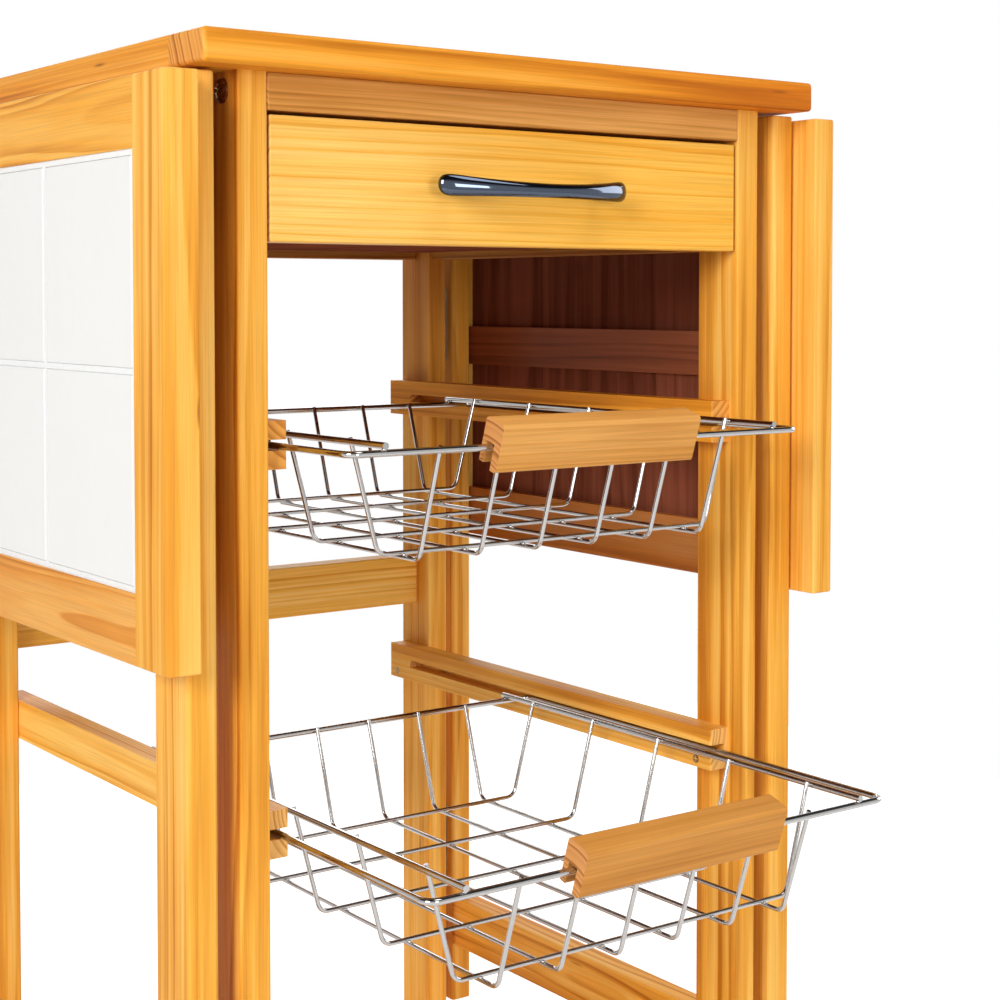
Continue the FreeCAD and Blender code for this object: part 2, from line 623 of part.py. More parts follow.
def wire(name, points, diameter, radius, closed=False):
    """A round wire bent along a path."""
    path = doc.addObject("Part::Feature", name + "_path")
    path.Shape = bent_path(points, radius, closed)
    first = path.Shape.OrderedEdges[0]
    ring = doc.addObject("Part::Circle", name + "_ring")
    bind(ring, "Radius", f"{diameter} / 2")
    heading = first.tangentAt(first.FirstParameter)
    ring.Placement = Placement(first.valueAt(first.FirstParameter), Rotation(Vector(0, 0, 1), heading))
    sweep = doc.addObject("Part::Sweep", name)
    sweep.Sections = [ring]
    sweep.Spine = (path, [])
    sweep.Solid = True
    return sweep


def spread(count, pitch):
    """Places of evenly spaced wires about the middle."""
    return [(step - (count - 1) / 2) * pitch for step in range(count)]


def make_basket(name, drop, pull):
    """A wire basket hung by its rim: side bars, long wires under cross wires, and a slotted grip."""
    rim_half = mm("rim_wire") / 2
    mesh_half = mm("mesh_wire") / 2
    touch = rim_half + mesh_half + mm("weld_gap")
    leg_far = mm("top_depth") / 2 - mm("leg_inset_end")
    leg_in = mm("top_width") / 2 - mm("leg_inset_side") - mm("leg_thick")
    groove_low = mm("height") - drop - mm("runner_height") / 2 - mm("groove_height") / 2
    rim_z = groove_low + mm("run_gap") + rim_half
    groove_end = leg_far - mm("runner_rear_inset") - mm("groove_stop")
    rear = groove_end - mm("rear_play") - rim_half - mm(pull)
    length = groove_end + leg_far - mm("runner_front_inset") - mm("rim_short")
    front = rear - length
    half = leg_in - mm("runner_thick") + mm("groove_depth") - mm("rim_side_gap") - rim_half
    corners = [Vector(x, y, rim_z) for x, y in ((-half, front), (half, front), (half, rear), (-half, rear))]
    keep(wire(f"{name}_rim", corners, "rim_wire", mm("rim_corner"), closed=True), f"{name}_basket_rim")

    bar_x = half - mm("side_bar_inset")
    bar_z = rim_z + mm("rim_wire") + mm("weld_gap")
    bars = []
    for side in SIDES.values():
        ends = [Vector(side * bar_x, y, bar_z) for y in (front - rim_half, rear + rim_half)]
        bars.append(wire(f"{name}_bar", ends, "rim_wire", mm("rim_corner")))
    group(f"{name}_basket_side_bars", bars)

    wires = []
    floor_z = rim_z - mm("basket_drop")
    low, high = wall_run(touch, math.atan2(mm("long_lean"), mm("basket_drop")), rim_z, floor_z)
    for x in spread(WIRES_ALONG_COUNT, 2 * (bar_x - mm("long_wire_edge")) / WIRES_ALONG_COUNT):
        path = [Vector(x, front + high[0], high[1]), Vector(x, front + low[0], low[1]),
                Vector(x, rear - low[0], low[1]), Vector(x, rear - high[0], high[1])]
        wires.append(wire(f"{name}_long_wire", path, "mesh_wire", mm("wire_bend")))
    upper_floor_z = floor_z + mm("mesh_wire") + mm("weld_gap")
    low, high = wall_run(touch, math.atan2(mm("cross_lean"), mm("basket_drop")), bar_z, upper_floor_z)
    for along in spread(WIRES_ACROSS_COUNT, (length - 2 * mm("cross_wire_edge")) / WIRES_ACROSS_COUNT):
        y = (front + rear) / 2 + along
        path = [Vector(high[0] - bar_x, y, high[1]), Vector(low[0] - bar_x, y, low[1]),
                Vector(bar_x - low[0], y, low[1]), Vector(bar_x - high[0], y, high[1])]
        wires.append(wire(f"{name}_cross_wire", path, "mesh_wire", mm("wire_bend")))
    group(f"{name}_basket_wires", wires)
    make_grip(name, front, rim_z)


def wall_run(touch, lean, rim_z, floor_z):
    """Inward distance and height of a leaning wall wire at its bend and at its top, behind the rim."""
    across = Vector(math.cos(lean), math.sin(lean), 0) * touch
    up = Vector(-math.sin(lean), math.cos(lean), 0)
    top = across + up * mm("wire_nub")
    fall = (floor_z - rim_z - across.y) / up.y
    bend = across + up * fall
    return (bend.x, floor_z), (top.x, rim_z + top.y)


def make_grip(name, front, rim_z):
    """A wooden bar slotted over the front rim, leaning with the front wall, its front lip the longer."""
    x = both("grip_length / 2")
    slot = ("-(rim_wire / 2 + grip_play)", "(rim_wire / 2 + mesh_wire + weld_gap + grip_play)")
    low = "-grip_below"
    slot_top = "(rim_wire / 2 + grip_play)"
    cuts = [(x, slot, (low, slot_top)), (x, (slot[1], "grip_back"), (low, "-grip_back_below"))]
    grip = board(f"{name}_grip", x, ("-grip_front", "grip_back"), (low, "grip_above"),
                 rounds=[("X:+Z|X:-Y", "grip_round")], cuts=cuts)
    holder = doc.addObject("Part::Compound", f"{name}_grip_seat")
    holder.Links = [grip]
    lean = math.degrees(math.atan2(mm("long_lean"), mm("basket_drop")))
    holder.Placement = Placement(Vector(0, front, rim_z), Rotation(Vector(1, 0, 0), lean))
    keep(holder, f"{name}_basket_grip")


def hinge_half(name, axis, plate, webs, knuckles, centre, barrel, bore):
    """A hinge plate with webs to its knuckles, bored for the pin."""
    pieces = [box(name + "_plate", *plate)]
    pieces += [box(name + "_web", *web) for web in webs]
    pieces += [rod(name + "_knuckle", axis, span, centre, barrel) for span in knuckles]
    bores = [rod(name + "_bore", axis, span, centre, bore) for span in knuckles]
    tool = bores[0] if len(bores) == 1 else fuse(name + "_bores", bores)
    return cut(name, fuse(name + "_solid", pieces), tool)


def knuckle_spans(low, high):
    """A hinge's length in three: the outer knuckles and the middle one, a gap apart."""
    third = f"(({high}) - ({low}) - 2 * knuckle_gap) / 3"
    first = (low, f"({low} + {third})")
    middle = (f"({low} + {third} + knuckle_gap)", f"({high} - {third} - knuckle_gap)")
    return first, middle, (f"({high} - {third})", high)


def hinge_spans():
    """Span along Y of each leaf hinge."""
    middles = [f"({end} * hinge_spacing / 2)" for end in ENDS.values()]
    return [(f"({middle} - hinge_length / 2)", f"({middle} + hinge_length / 2)") for middle in middles]


def make_fixed_hinges():
    halves = []
    for side_name, side in SIDES.items():
        centre = (f"({side} * {HINGE_X})", HINGE_Z)
        edge = f"({HINGE_X} - hinge_barrel - hinge_clear)"
        for y in hinge_spans():
            first, _, last = knuckle_spans(*y)
            plate = (span_from(side, f"({HINGE_X} - hinge_plate_width)", edge), y,
                     (f"({UNDER} - hinge_plate_thick)", UNDER))
            web_x = span_from(side, f"({edge} - hinge_plate_thick)", f"({SIDE} - hinge_offset)")
            webs = [(web_x, span, (HINGE_Z, UNDER)) for span in (first, last)]
            halves.append(hinge_half(f"fixed_hinge_{side_name}", "Y", plate, webs, (first, last), centre,
                                     "hinge_barrel", "hinge_pin"))
            halves.append(rod(f"hinge_pin_{side_name}", "Y", y, centre, "hinge_pin"))
    group("leaf_hinge_fixed_plates", halves)


def make_leaf(name, side):
    face, inner = ("+X", "-X") if side > 0 else ("-X", "+X")
    tile = span_from(side, f"({LEAF_OUT} - tile_sink - tile_thick)", f"({LEAF_OUT} - tile_sink)")
    grout = span_from(side, f"({LEAF_OUT} - tile_sink - tile_thick)", f"({LEAF_OUT} - tile_sink - grout_sink)")
    behind = f"({LEAF_OUT} - tile_sink - tile_thick - board_thick)"
    board_x = span_from(side, behind, f"({LEAF_OUT} - tile_sink - tile_thick)")
    leaf_x = span_from(side, LEAF_IN, LEAF_OUT)
    field_y = f"({END} - leaf_frame)"
    field_z = (f"({LEAF_LOW} + leaf_frame)", f"({LEAF_TOP} - leaf_frame)")
    tongue_z = (f"({field_z[0]} - board_tongue)", f"({field_z[1]} + board_tongue)")
    tongue_y = f"({field_y} + board_tongue)"
    stiles = []
    for end_name, end in ENDS.items():
        mark = "+Y" if end > 0 else "-Y"
        groove = (board_x, span_from(end, field_y, tongue_y), tongue_z)
        rounds = [(f"Z:{mark}{face}", "leaf_round"), (f"Z:{mark}{inner}", "edge_round"), ("XY", "edge_round")]
        stiles.append(board(f"leaf_stile_{name}_{end_name}", leaf_x, span_from(end, field_y, END),
                            (LEAF_LOW, LEAF_TOP), rounds=rounds, cuts=[groove]))
    group(f"leaf_{name}_stiles", stiles)
    plate_x = span_from(side, LEAF_IN, f"({LEAF_IN} + hinge_plate_thick)")
    plate_low = f"({HINGE_Z} - hinge_plate_width)"
    mortises = [(plate_x, y, (plate_low, LEAF_TOP)) for y in hinge_spans()]
    upper_groove = (board_x, both(field_y), (field_z[1], tongue_z[1]))
    lower_groove = (board_x, both(field_y), (tongue_z[0], field_z[0]))
    upper = board(f"leaf_upper_rail_{name}", leaf_x, both(field_y), (field_z[1], LEAF_TOP),
                  rounds=[("Y:+Z", "edge_round")], cuts=[upper_groove] + mortises)
    lower = board(f"leaf_lower_rail_{name}", leaf_x, both(field_y), (LEAF_LOW, field_z[0]),
                  rounds=[("Y:-Z", "edge_round")], cuts=[lower_groove])
    group(f"leaf_{name}_rails", [upper, lower])
    keep(board(f"leaf_board_{name}", board_x, both(tongue_y), tongue_z), f"leaf_{name}_backing_board")
    middle = f"(({field_z[0]} + {field_z[1]}) / 2)"
    back_z = (f"({middle} - back_rail_height / 2)", f"({middle} + back_rail_height / 2)")
    keep(board(f"leaf_back_{name}", span_from(side, f"({behind} - back_rail_thick)", behind), both(field_y),
               back_z), f"leaf_{name}_back_rail")
    tiled_panel(f"leaf_{name}", "YZ", (both(field_y), field_z), (TILE_COUNT, LEAF_ROW_COUNT), tile, grout, face)
    centre = (f"({side} * {HINGE_X})", HINGE_Z)
    halves = []
    for y in hinge_spans():
        _, middle_span, _ = knuckle_spans(*y)
        plate = (plate_x, y, (plate_low, f"({HINGE_Z} - hinge_barrel / 2 - hinge_clear)"))
        web = (span_from(side, HINGE_X, f"({LEAF_IN} + hinge_plate_thick)"), middle_span,
               (f"({HINGE_Z} - hinge_barrel)", HINGE_Z))
        halves.append(hinge_half(f"moving_hinge_{name}", "Y", plate, [web], [middle_span], centre,
                                 "hinge_barrel", "(hinge_pin + pin_play)"))
    group(f"leaf_{name}_hinge_plates", halves)


def make_gate(name, side):
    x = span_from(side, GATE_IN, GATE_OUT)
    front = (f"(-{END} + gate_front_inset)", f"(-{END} + gate_front_inset + gate_post_depth)")
    rear = (f"({END} - gate_rear_inset - gate_post_depth)", f"({END} - gate_rear_inset)")
    low_top = "(height - gate_low_rail_drop)"
    low = f"({low_top} - gate_rail_height)"
    posts = []
    for y in (front, rear):
        posts.append(board(f"gate_post_{name}", x, y, (f"({low} - gate_foot)", f"({UNDER} - gate_top_gap)"),
                           rounds=[("Z", "post_round"), ("XY", "edge_round")]))
    group(f"gate_{name}_posts", posts)
    high_top = "(height - gate_high_rail_drop)"
    rails = []
    for z in ((f"({high_top} - gate_rail_height)", high_top), (low, low_top)):
        rails.append(board(f"gate_rail_{name}", x, (front[1], rear[0]), z, rounds=[("Y", "edge_round")]))
    group(f"gate_{name}_rails", rails)


def make_gate_hinges():
    axis_x = f"(({LEG_OUT} + {GATE_IN}) / 2)"
    axis_y = f"({LEG_FAR} + gate_barrel)"
    leg_plate_y = (LEG_FAR, f"({LEG_FAR} + gate_plate_thick)")
    pieces = []
    for name, side in SIDES.items():
        centre = (f"({side} * {axis_x})", axis_y)
        for drop in ("gate_hinge_high", "gate_hinge_low"):
            z = (f"(height - {drop} - gate_hinge_length)", f"(height - {drop})")
            first, middle, last = knuckle_spans(*z)
            edge = f"({axis_x} - gate_barrel - hinge_clear)"
            plate = (span_from(side, f"({axis_x} - gate_plate_width)", edge), leg_plate_y, z)
            webs = [(span_from(side, f"({edge} - gate_plate_thick)", axis_x), leg_plate_y, span)
                    for span in (first, last)]
            pieces.append(hinge_half(f"gate_hinge_leg_{name}", "Z", plate, webs, (first, last), centre,
                                     "gate_barrel", "gate_pin"))
            plate = (span_from(side, f"({GATE_IN} - gate_plate_thick)", GATE_IN),
                     (f"({axis_y} - gate_plate_width)", f"({axis_y} + gate_plate_thick)"), z)
            web_y = (f"({axis_y} - gate_plate_thick / 2)", f"({axis_y} + gate_plate_thick / 2)")
            web = (span_from(side, axis_x, GATE_IN), web_y, middle)
            pieces.append(hinge_half(f"gate_hinge_gate_{name}", "Z", plate, [web], [middle], centre,
                                     "gate_barrel", "gate_pin"))
            pieces.append(rod(f"gate_pin_{name}", "Z", z, centre, "gate_pin"))
    group("gate_hinges", pieces)


def make_caster(name, side, end):
    """A twin-wheel caster: web, hood and boss on a stem, with the axle through the web."""
    x = f"({side} * ({LEG_OUT} - leg_thick / 2))"
    y = f"({end} * ({LEG_FAR} - leg_depth / 2))"
    axle_y = f"({y} + caster_trail)"
    axle = (axle_y, "wheel_radius")
    boss_top = "(caster_height - caster_gap)"
    hood_in = "(wheel_radius + hood_gap)"
    hood_out = f"({hood_in} + hood_thick)"
    wheel_out = "(web_thick / 2 + wheel_play + wheel_width)"
    boss_low = f"(wheel_radius + {hood_out} - hood_thick / 2)"
    wide = (f"({x} - {wheel_out})", f"({x} + {wheel_out})")
    web_x = (f"({x} - web_thick / 2)", f"({x} + web_thick / 2)")

    hood = cut("hood_shell", rod("hood_outside", "X", wide, axle, hood_out),
               rod("hood_inside", "X", wide, axle, hood_in))
    lower = box("hood_below", wide, (f"({axle_y} - {hood_out})", f"({axle_y} + {hood_out})"),
                (f"(wheel_radius - {hood_out})", "wheel_radius"))
    upper_hood = cut("hood", hood, lower)
    web = box("fork_web", web_x, (f"({y} - web_half)", f"({axle_y} + web_half)"), ("wheel_radius", boss_low))
    hub = rod("fork_hub", "X", web_x, axle, "web_half")
    boss = rod("fork_boss", "Z", (boss_low, boss_top), (x, y), "boss_radius")
    stem = rod("fork_stem", "Z", (boss_top, "(caster_height + stem_length - caster_gap)"), (x, y), "stem_radius")
    hole = rod("axle_hole", "X", web_x, axle, "axle_radius")
    fork = cut(f"fork_{name}", fuse("fork_solid", [upper_hood, web, hub, boss, stem]), hole)
    axle_bar = rod(f"axle_{name}", "X", wide, axle, "axle_radius")
    group(f"caster_fork_{name}", [fork, axle_bar])

    wheels = []
    for face in SIDES.values():
        near = "(web_thick / 2 + wheel_play)"
        low, high = span_from(face, near, wheel_out)
        disc = rod("wheel_disc", "X", (f"({x} + {low})", f"({x} + {high})"), axle, "wheel_radius")
        bore = rod("wheel_bore", "X", (f"({x} + {low})", f"({x} + {high})"), axle, "(axle_radius + pin_play)")
        low, high = span_from(face, f"({wheel_out} - wheel_dish)", wheel_out)
        dish = rod("wheel_dish", "X", (f"({x} + {low})", f"({x} + {high})"), axle, "(wheel_radius - wheel_lip)")
        doc.recompute()
        tread = doc.addObject("Part::Fillet", "wheel_tread")
        tread.Base = disc
        circles = [number for number, edge in enumerate(disc.Shape.Edges, 1) if edge.isClosed()]
        tread.Edges = [(number, mm("wheel_round"), mm("wheel_round")) for number in circles]
        wheels.append(cut(f"wheel_{name}", tread, fuse("wheel_hollows", [bore, dish])))
    group(f"caster_wheels_{name}", wheels)


make_top()
make_legs()
make_rails()
make_shelf()
make_bolts()
make_drawer()
make_basket_runners("upper", "upper_runner_drop")
make_basket_runners("lower", "lower_runner_drop")
make_basket("upper", mm("upper_runner_drop"), "upper_pull")
make_basket("lower", mm("lower_runner_drop"), "lower_pull")
make_fixed_hinges()
for side_name, side in SIDES.items():
    make_leaf(side_name, side)
    make_gate(side_name, side)
make_gate_hinges()
for end_name, end in ENDS.items():
    for side_name, side in SIDES.items():
        make_caster(f"{end_name}_{side_name}", side, end)
doc.recompute()

failed = [piece.Name for piece in doc.Objects if {"Invalid", "Error"} & set(piece.State)]
if failed:
    raise RuntimeError("pieces that did not compute: " + ", ".join(failed))
for node in nodes:
    if node.Shape.isNull() or not node.Shape.isValid() or not node.Shape.Solids:
        raise RuntimeError("no sound solid in " + node.Label)

os.makedirs("parts", exist_ok=True)
for node in nodes:
    node.Shape.exportStep(f"parts/{node.Label}.step")
    print(node.Label, len(node.Shape.Solids), round(node.Shape.Volume / 1000, 2))
print(len(nodes), "sub-parts")
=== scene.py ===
import math

import bpy
import numpy as np
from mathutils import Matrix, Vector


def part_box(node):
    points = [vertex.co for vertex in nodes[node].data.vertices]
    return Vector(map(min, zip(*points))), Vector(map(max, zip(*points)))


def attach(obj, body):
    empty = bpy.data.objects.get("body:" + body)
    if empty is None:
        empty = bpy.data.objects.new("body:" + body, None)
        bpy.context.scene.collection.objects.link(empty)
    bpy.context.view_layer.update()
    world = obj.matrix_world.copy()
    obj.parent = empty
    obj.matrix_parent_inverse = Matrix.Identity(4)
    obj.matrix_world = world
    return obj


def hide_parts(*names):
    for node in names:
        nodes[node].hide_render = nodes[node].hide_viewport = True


# Pine kitchen cart with tiled drop leaves, a drawer and two sliding wire baskets.
# Metres, in the same frame as the solids: X across, -Y the drawer front, Z up from the floor.

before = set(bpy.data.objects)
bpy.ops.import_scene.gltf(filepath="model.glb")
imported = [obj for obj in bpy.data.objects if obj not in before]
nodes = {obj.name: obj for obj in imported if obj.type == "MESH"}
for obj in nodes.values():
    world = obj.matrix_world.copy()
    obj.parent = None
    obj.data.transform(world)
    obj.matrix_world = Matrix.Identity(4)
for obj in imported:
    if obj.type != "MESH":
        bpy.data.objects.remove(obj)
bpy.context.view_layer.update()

SIDES = (-1, 1)
MM = 0.001


# Helpers that place shader nodes and link them

def feed(tree, socket, value):
    """Links a socket to another node's output, or sets it to a plain value."""
    if isinstance(value, bpy.types.NodeSocket):
        tree.links.new(value, socket)
    else:
        socket.default_value = value


def put(tree, kind, inputs=None, **settings):
    """Adds one shader node with its settings and inputs."""
    node = tree.nodes.new("ShaderNode" + kind)
    for name, value in settings.items():
        setattr(node, name, value)
    for name, value in (inputs or {}).items():
        feed(tree, node.inputs[name], value)
    return node


def calc(tree, operation, *values):
    """One sum on plain numbers."""
    node = put(tree, "Math", operation=operation)
    for socket, value in zip(node.inputs, values):
        feed(tree, socket, value)
    return node.outputs[0]


def stretch(tree, place, factors):
    """Coordinates multiplied axis by axis, so that a pattern is drawn out along the axis with the least."""
    return put(tree, "VectorMath", {0: place, 1: factors}, operation="MULTIPLY").outputs[0]


def mix(tree, share, first, second, blend="MIX"):
    """Two colours mixed by a share."""
    node = put(tree, "Mix", data_type="RGBA", blend_type=blend)
    feed(tree, node.inputs[0], share)
    feed(tree, node.inputs[6], first)
    feed(tree, node.inputs[7], second)
    return node.outputs[2]


def ramp(tree, value, low, high, to_low=0.0, to_high=1.0, smooth=False):
    """A value carried from one span to another, and held at the ends."""
    style = "SMOOTHSTEP" if smooth else "LINEAR"
    spans = {0: value, 1: low, 2: high, 3: to_low, 4: to_high}
    return put(tree, "MapRange", spans, interpolation_type=style).outputs[0]


def cloud(tree, place, scale=1.0, detail=2.0, roughness=0.5):
    """Soft noise between 0 and 1."""
    inputs = {"Vector": place, "Scale": scale, "Detail": detail, "Roughness": roughness}
    return put(tree, "TexNoise", inputs).outputs["Fac"]


def new_group(name, inputs, outputs):
    """A shader node group with named sockets; gives the group, its input sockets and its output sockets."""
    tree = bpy.data.node_groups.new(name, "ShaderNodeTree")
    for title, kind, value in inputs:
        socket = tree.interface.new_socket(title, in_out="INPUT", socket_type="NodeSocket" + kind)
        socket.default_value = value
    for title, kind in outputs:
        tree.interface.new_socket(title, in_out="OUTPUT", socket_type="NodeSocket" + kind)
    return tree, tree.nodes.new("NodeGroupInput").outputs, tree.nodes.new("NodeGroupOutput").inputs


def use(tree, group, **inputs):
    """Places a group in a material; gives its output sockets."""
    node = tree.nodes.new("ShaderNodeGroup")
    node.node_tree = group
    for name, value in inputs.items():
        feed(tree, node.inputs[name.replace("_", " ").capitalize()], value)
    return node.outputs


# Shared effects

# Noise to the metre, along the grain and across it both ways
SWAY = (2.6, 13.0, 13.0)
RIPPLE = (9.0, 60.0, 60.0)
FIBRE = (16.0, 1500.0, 1500.0)
PATCHES = (7.0, 24.0, 24.0)
BROAD = (2.8, 120.0, 120.0)
FLECK_CELLS = (9.0, 75.0, 75.0)

# Share of a year at which its late wood stops, and the span of a mottle that is spread out
LATE_WOOD_ENDS = 0.9
MOTTLE_SPAN = (0.35, 0.65)


def make_pine_grain():
    """Year rings about a pith line along X, with fibres, broad bands, patches and resin flecks along it.

    The ring count is the distance from the pith, pushed about by slow noise, over the ring width; each
    ring darkens slowly to its late wood and then stops short, and some years are far fainter than others.
    A fleck is the middle of a long cell, in some of the cells only.
    """
    tree, given, out = new_group(
        "pine_grain",
        [("Place", "Vector", (0, 0, 0)), ("Ring width", "Float", 0.003), ("Wander", "Float", 0.004),
         ("Sharpness", "Float", 1.3)],
        [(title, "Float") for title in ("Rings", "Fibres", "Blotch", "Bands", "Flecks")])
    place = given["Place"]
    slow = cloud(tree, stretch(tree, place, SWAY), detail=1.5)
    ripple = cloud(tree, stretch(tree, place, RIPPLE), detail=2.0)
    across = stretch(tree, place, (0, 1, 1))
    radius = put(tree, "VectorMath", {0: across}, operation="LENGTH").outputs["Value"]
    far = calc(tree, "MULTIPLY", given["Wander"], 3.0)
    push = calc(tree, "MULTIPLY", calc(tree, "SUBTRACT", slow, 0.5), far)
    near = calc(tree, "MULTIPLY", given["Wander"], 0.35)
    jitter = calc(tree, "MULTIPLY", calc(tree, "SUBTRACT", ripple, 0.5), near)
    wavy = calc(tree, "ADD", calc(tree, "ADD", radius, push), jitter)
    count = calc(tree, "DIVIDE", wavy, given["Ring width"])
    years = {"W": count, "Scale": 0.45, "Detail": 0.0}
    uneven = put(tree, "TexNoise", years, noise_dimensions="1D").outputs["Fac"]
    count = calc(tree, "MULTIPLY_ADD", uneven, 1.6, count)
    part = calc(tree, "FRACT", count)
    rise = calc(tree, "POWER", ramp(tree, part, 0.1, LATE_WOOD_ENDS, smooth=True), given["Sharpness"])
    stop = ramp(tree, part, LATE_WOOD_ENDS, 1.0, 1.0, 0.0)
    whole = calc(tree, "FLOOR", count)
    year = put(tree, "TexWhiteNoise", {"W": whole}, noise_dimensions="1D").outputs["Value"]
    weight = ramp(tree, calc(tree, "POWER", year, 1.3), 0, 1, 0.2, 1)
    feed(tree, out["Rings"], calc(tree, "MULTIPLY", calc(tree, "MULTIPLY", rise, stop), weight))
    feed(tree, out["Fibres"], cloud(tree, stretch(tree, place, FIBRE), detail=2.0, roughness=0.6))
    feed(tree, out["Blotch"], cloud(tree, stretch(tree, place, PATCHES), detail=2.0))
    broad = cloud(tree, stretch(tree, place, BROAD), detail=3.0, roughness=0.55)
    feed(tree, out["Bands"], ramp(tree, broad, 0.4, 0.62, smooth=True))
    cell_place = stretch(tree, place, FLECK_CELLS)
    cells = put(tree, "TexVoronoi", {"Vector": cell_place, "Scale": 1.0}).outputs
    draw = put(tree, "SeparateColor", {0: cells["Color"]}).outputs[0]
    chosen = calc(tree, "GREATER_THAN", draw, 0.55)
    spot = ramp(tree, cells["Distance"], 0.02, 0.08, 1.0, 0.0)
    feed(tree, out["Flecks"], calc(tree, "MULTIPLY", spot, chosen))
    return tree


def make_mottle():
    """Faint unevenness of a handled surface: broad smears with finer specks, between two limits."""
    tree, given, out = new_group(
        "handled_mottle",
        [("Place", "Vector", (0, 0, 0)), ("Size", "Float", 60.0), ("Low", "Float", 0.0),
         ("High", "Float", 1.0)],
        [("Value", "Float"), ("Height", "Float")])
    broad = cloud(tree, given["Place"], given["Size"], detail=4.0, roughness=0.6)
    fine = cloud(tree, given["Place"], calc(tree, "MULTIPLY", given["Size"], 14.0), detail=2.0)
    both = calc(tree, "MULTIPLY_ADD", fine, 0.3, calc(tree, "MULTIPLY", broad, 0.7))
    span = calc(tree, "SUBTRACT", given["High"], given["Low"])
    spread = ramp(tree, both, *MOTTLE_SPAN)
    feed(tree, out["Value"], calc(tree, "MULTIPLY_ADD", spread, span, given["Low"]))
    feed(tree, out["Height"], both)
    return tree


PINE_GRAIN = make_pine_grain()
MOTTLE = make_mottle()


# Materials

def new_material(name):
    """An empty node material with a Principled shader; gives its tree and that shader."""
    material = bpy.data.materials.new(name)
    material.use_nodes = True
    tree = material.node_tree
    tree.nodes.clear()
    shader = put(tree, "BsdfPrincipled")
    output = put(tree, "OutputMaterial")
    tree.links.new(shader.outputs[0], output.inputs[0])
    return material, tree, shader


def object_place(tree):
    return put(tree, "TexCoord").outputs["Object"]


def bump(tree, shader, height, strength, distance):
    node = put(tree, "Bump", {"Strength": strength, "Distance": distance, "Height": height})
    tree.links.new(node.outputs[0], shader.inputs["Normal"])


# How a board's coordinates turn so that its grain lies along X
GRAIN_TURN = {"X": (0, 0, 0), "Y": (0, 0, -math.pi / 2), "Z": (0, math.pi / 2, 0)}

# Pale, middling and dark wood of each kind of board
HONEY = ((0.93, 0.53, 0.12), (0.83, 0.37, 0.044), (0.5, 0.15, 0.006))
PALE = ((0.94, 0.58, 0.17), (0.88, 0.46, 0.075), (0.68, 0.28, 0.025))
AMBER = ((0.9, 0.42, 0.065), (0.79, 0.31, 0.025), (0.46, 0.125, 0.003))
TAN = ((0.72, 0.35, 0.09), (0.6, 0.255, 0.047), (0.36, 0.12, 0.014))
# UMBER is darker than the other tones; on the front top rail it paints in the shadow of the top's overhang
UMBER = ((0.74, 0.36, 0.095), (0.6, 0.262, 0.052), (0.33, 0.108, 0.012))
# A very dark brown that paints in the shade inside the leaves, used on their back rails
SHADE_COCOA = ((0.36, 0.105, 0.04), (0.29, 0.08, 0.028), (0.17, 0.043, 0.014))
RUSSET = ((0.29, 0.087, 0.046), (0.23, 0.068, 0.036), (0.15, 0.04, 0.02))
RESIN = (0.2, 0.065, 0.015, 1.0)
RESIN_SHARE = 0.75
MIDDLING = 0.45
FAR_BOARD_SLIDE = 0.63
GRAIN_RELIEF = 0.2 * MM


def toned(tree, depth, tones):
    """The colour of wood by the depth of its tone: pale at 0, dark at 1."""
    node = put(tree, "ValToRGB", {0: depth})
    stops = node.color_ramp.elements
    stops[0].color = (*tones[0], 1.0)
    stops[1].color = (*tones[2], 1.0)
    stops.new(MIDDLING).color = (*tones[1], 1.0)
    return node.outputs[0]


def folded(tree, place, grain, across, centre):
    """Coordinates folded about the plane between a pair of boards, the far board slid along its grain."""
    parts = dict(zip("XYZ", put(tree, "SeparateXYZ", {0: place}).outputs))
    offset = calc(tree, "SUBTRACT", parts[across], centre * MM)
    far = calc(tree, "GREATER_THAN", offset, 0.0)
    parts[across] = calc(tree, "ABSOLUTE", offset)
    parts[grain] = calc(tree, "MULTIPLY_ADD", far, FAR_BOARD_SLIDE, parts[grain])
    return put(tree, "CombineXYZ", parts).outputs[0]


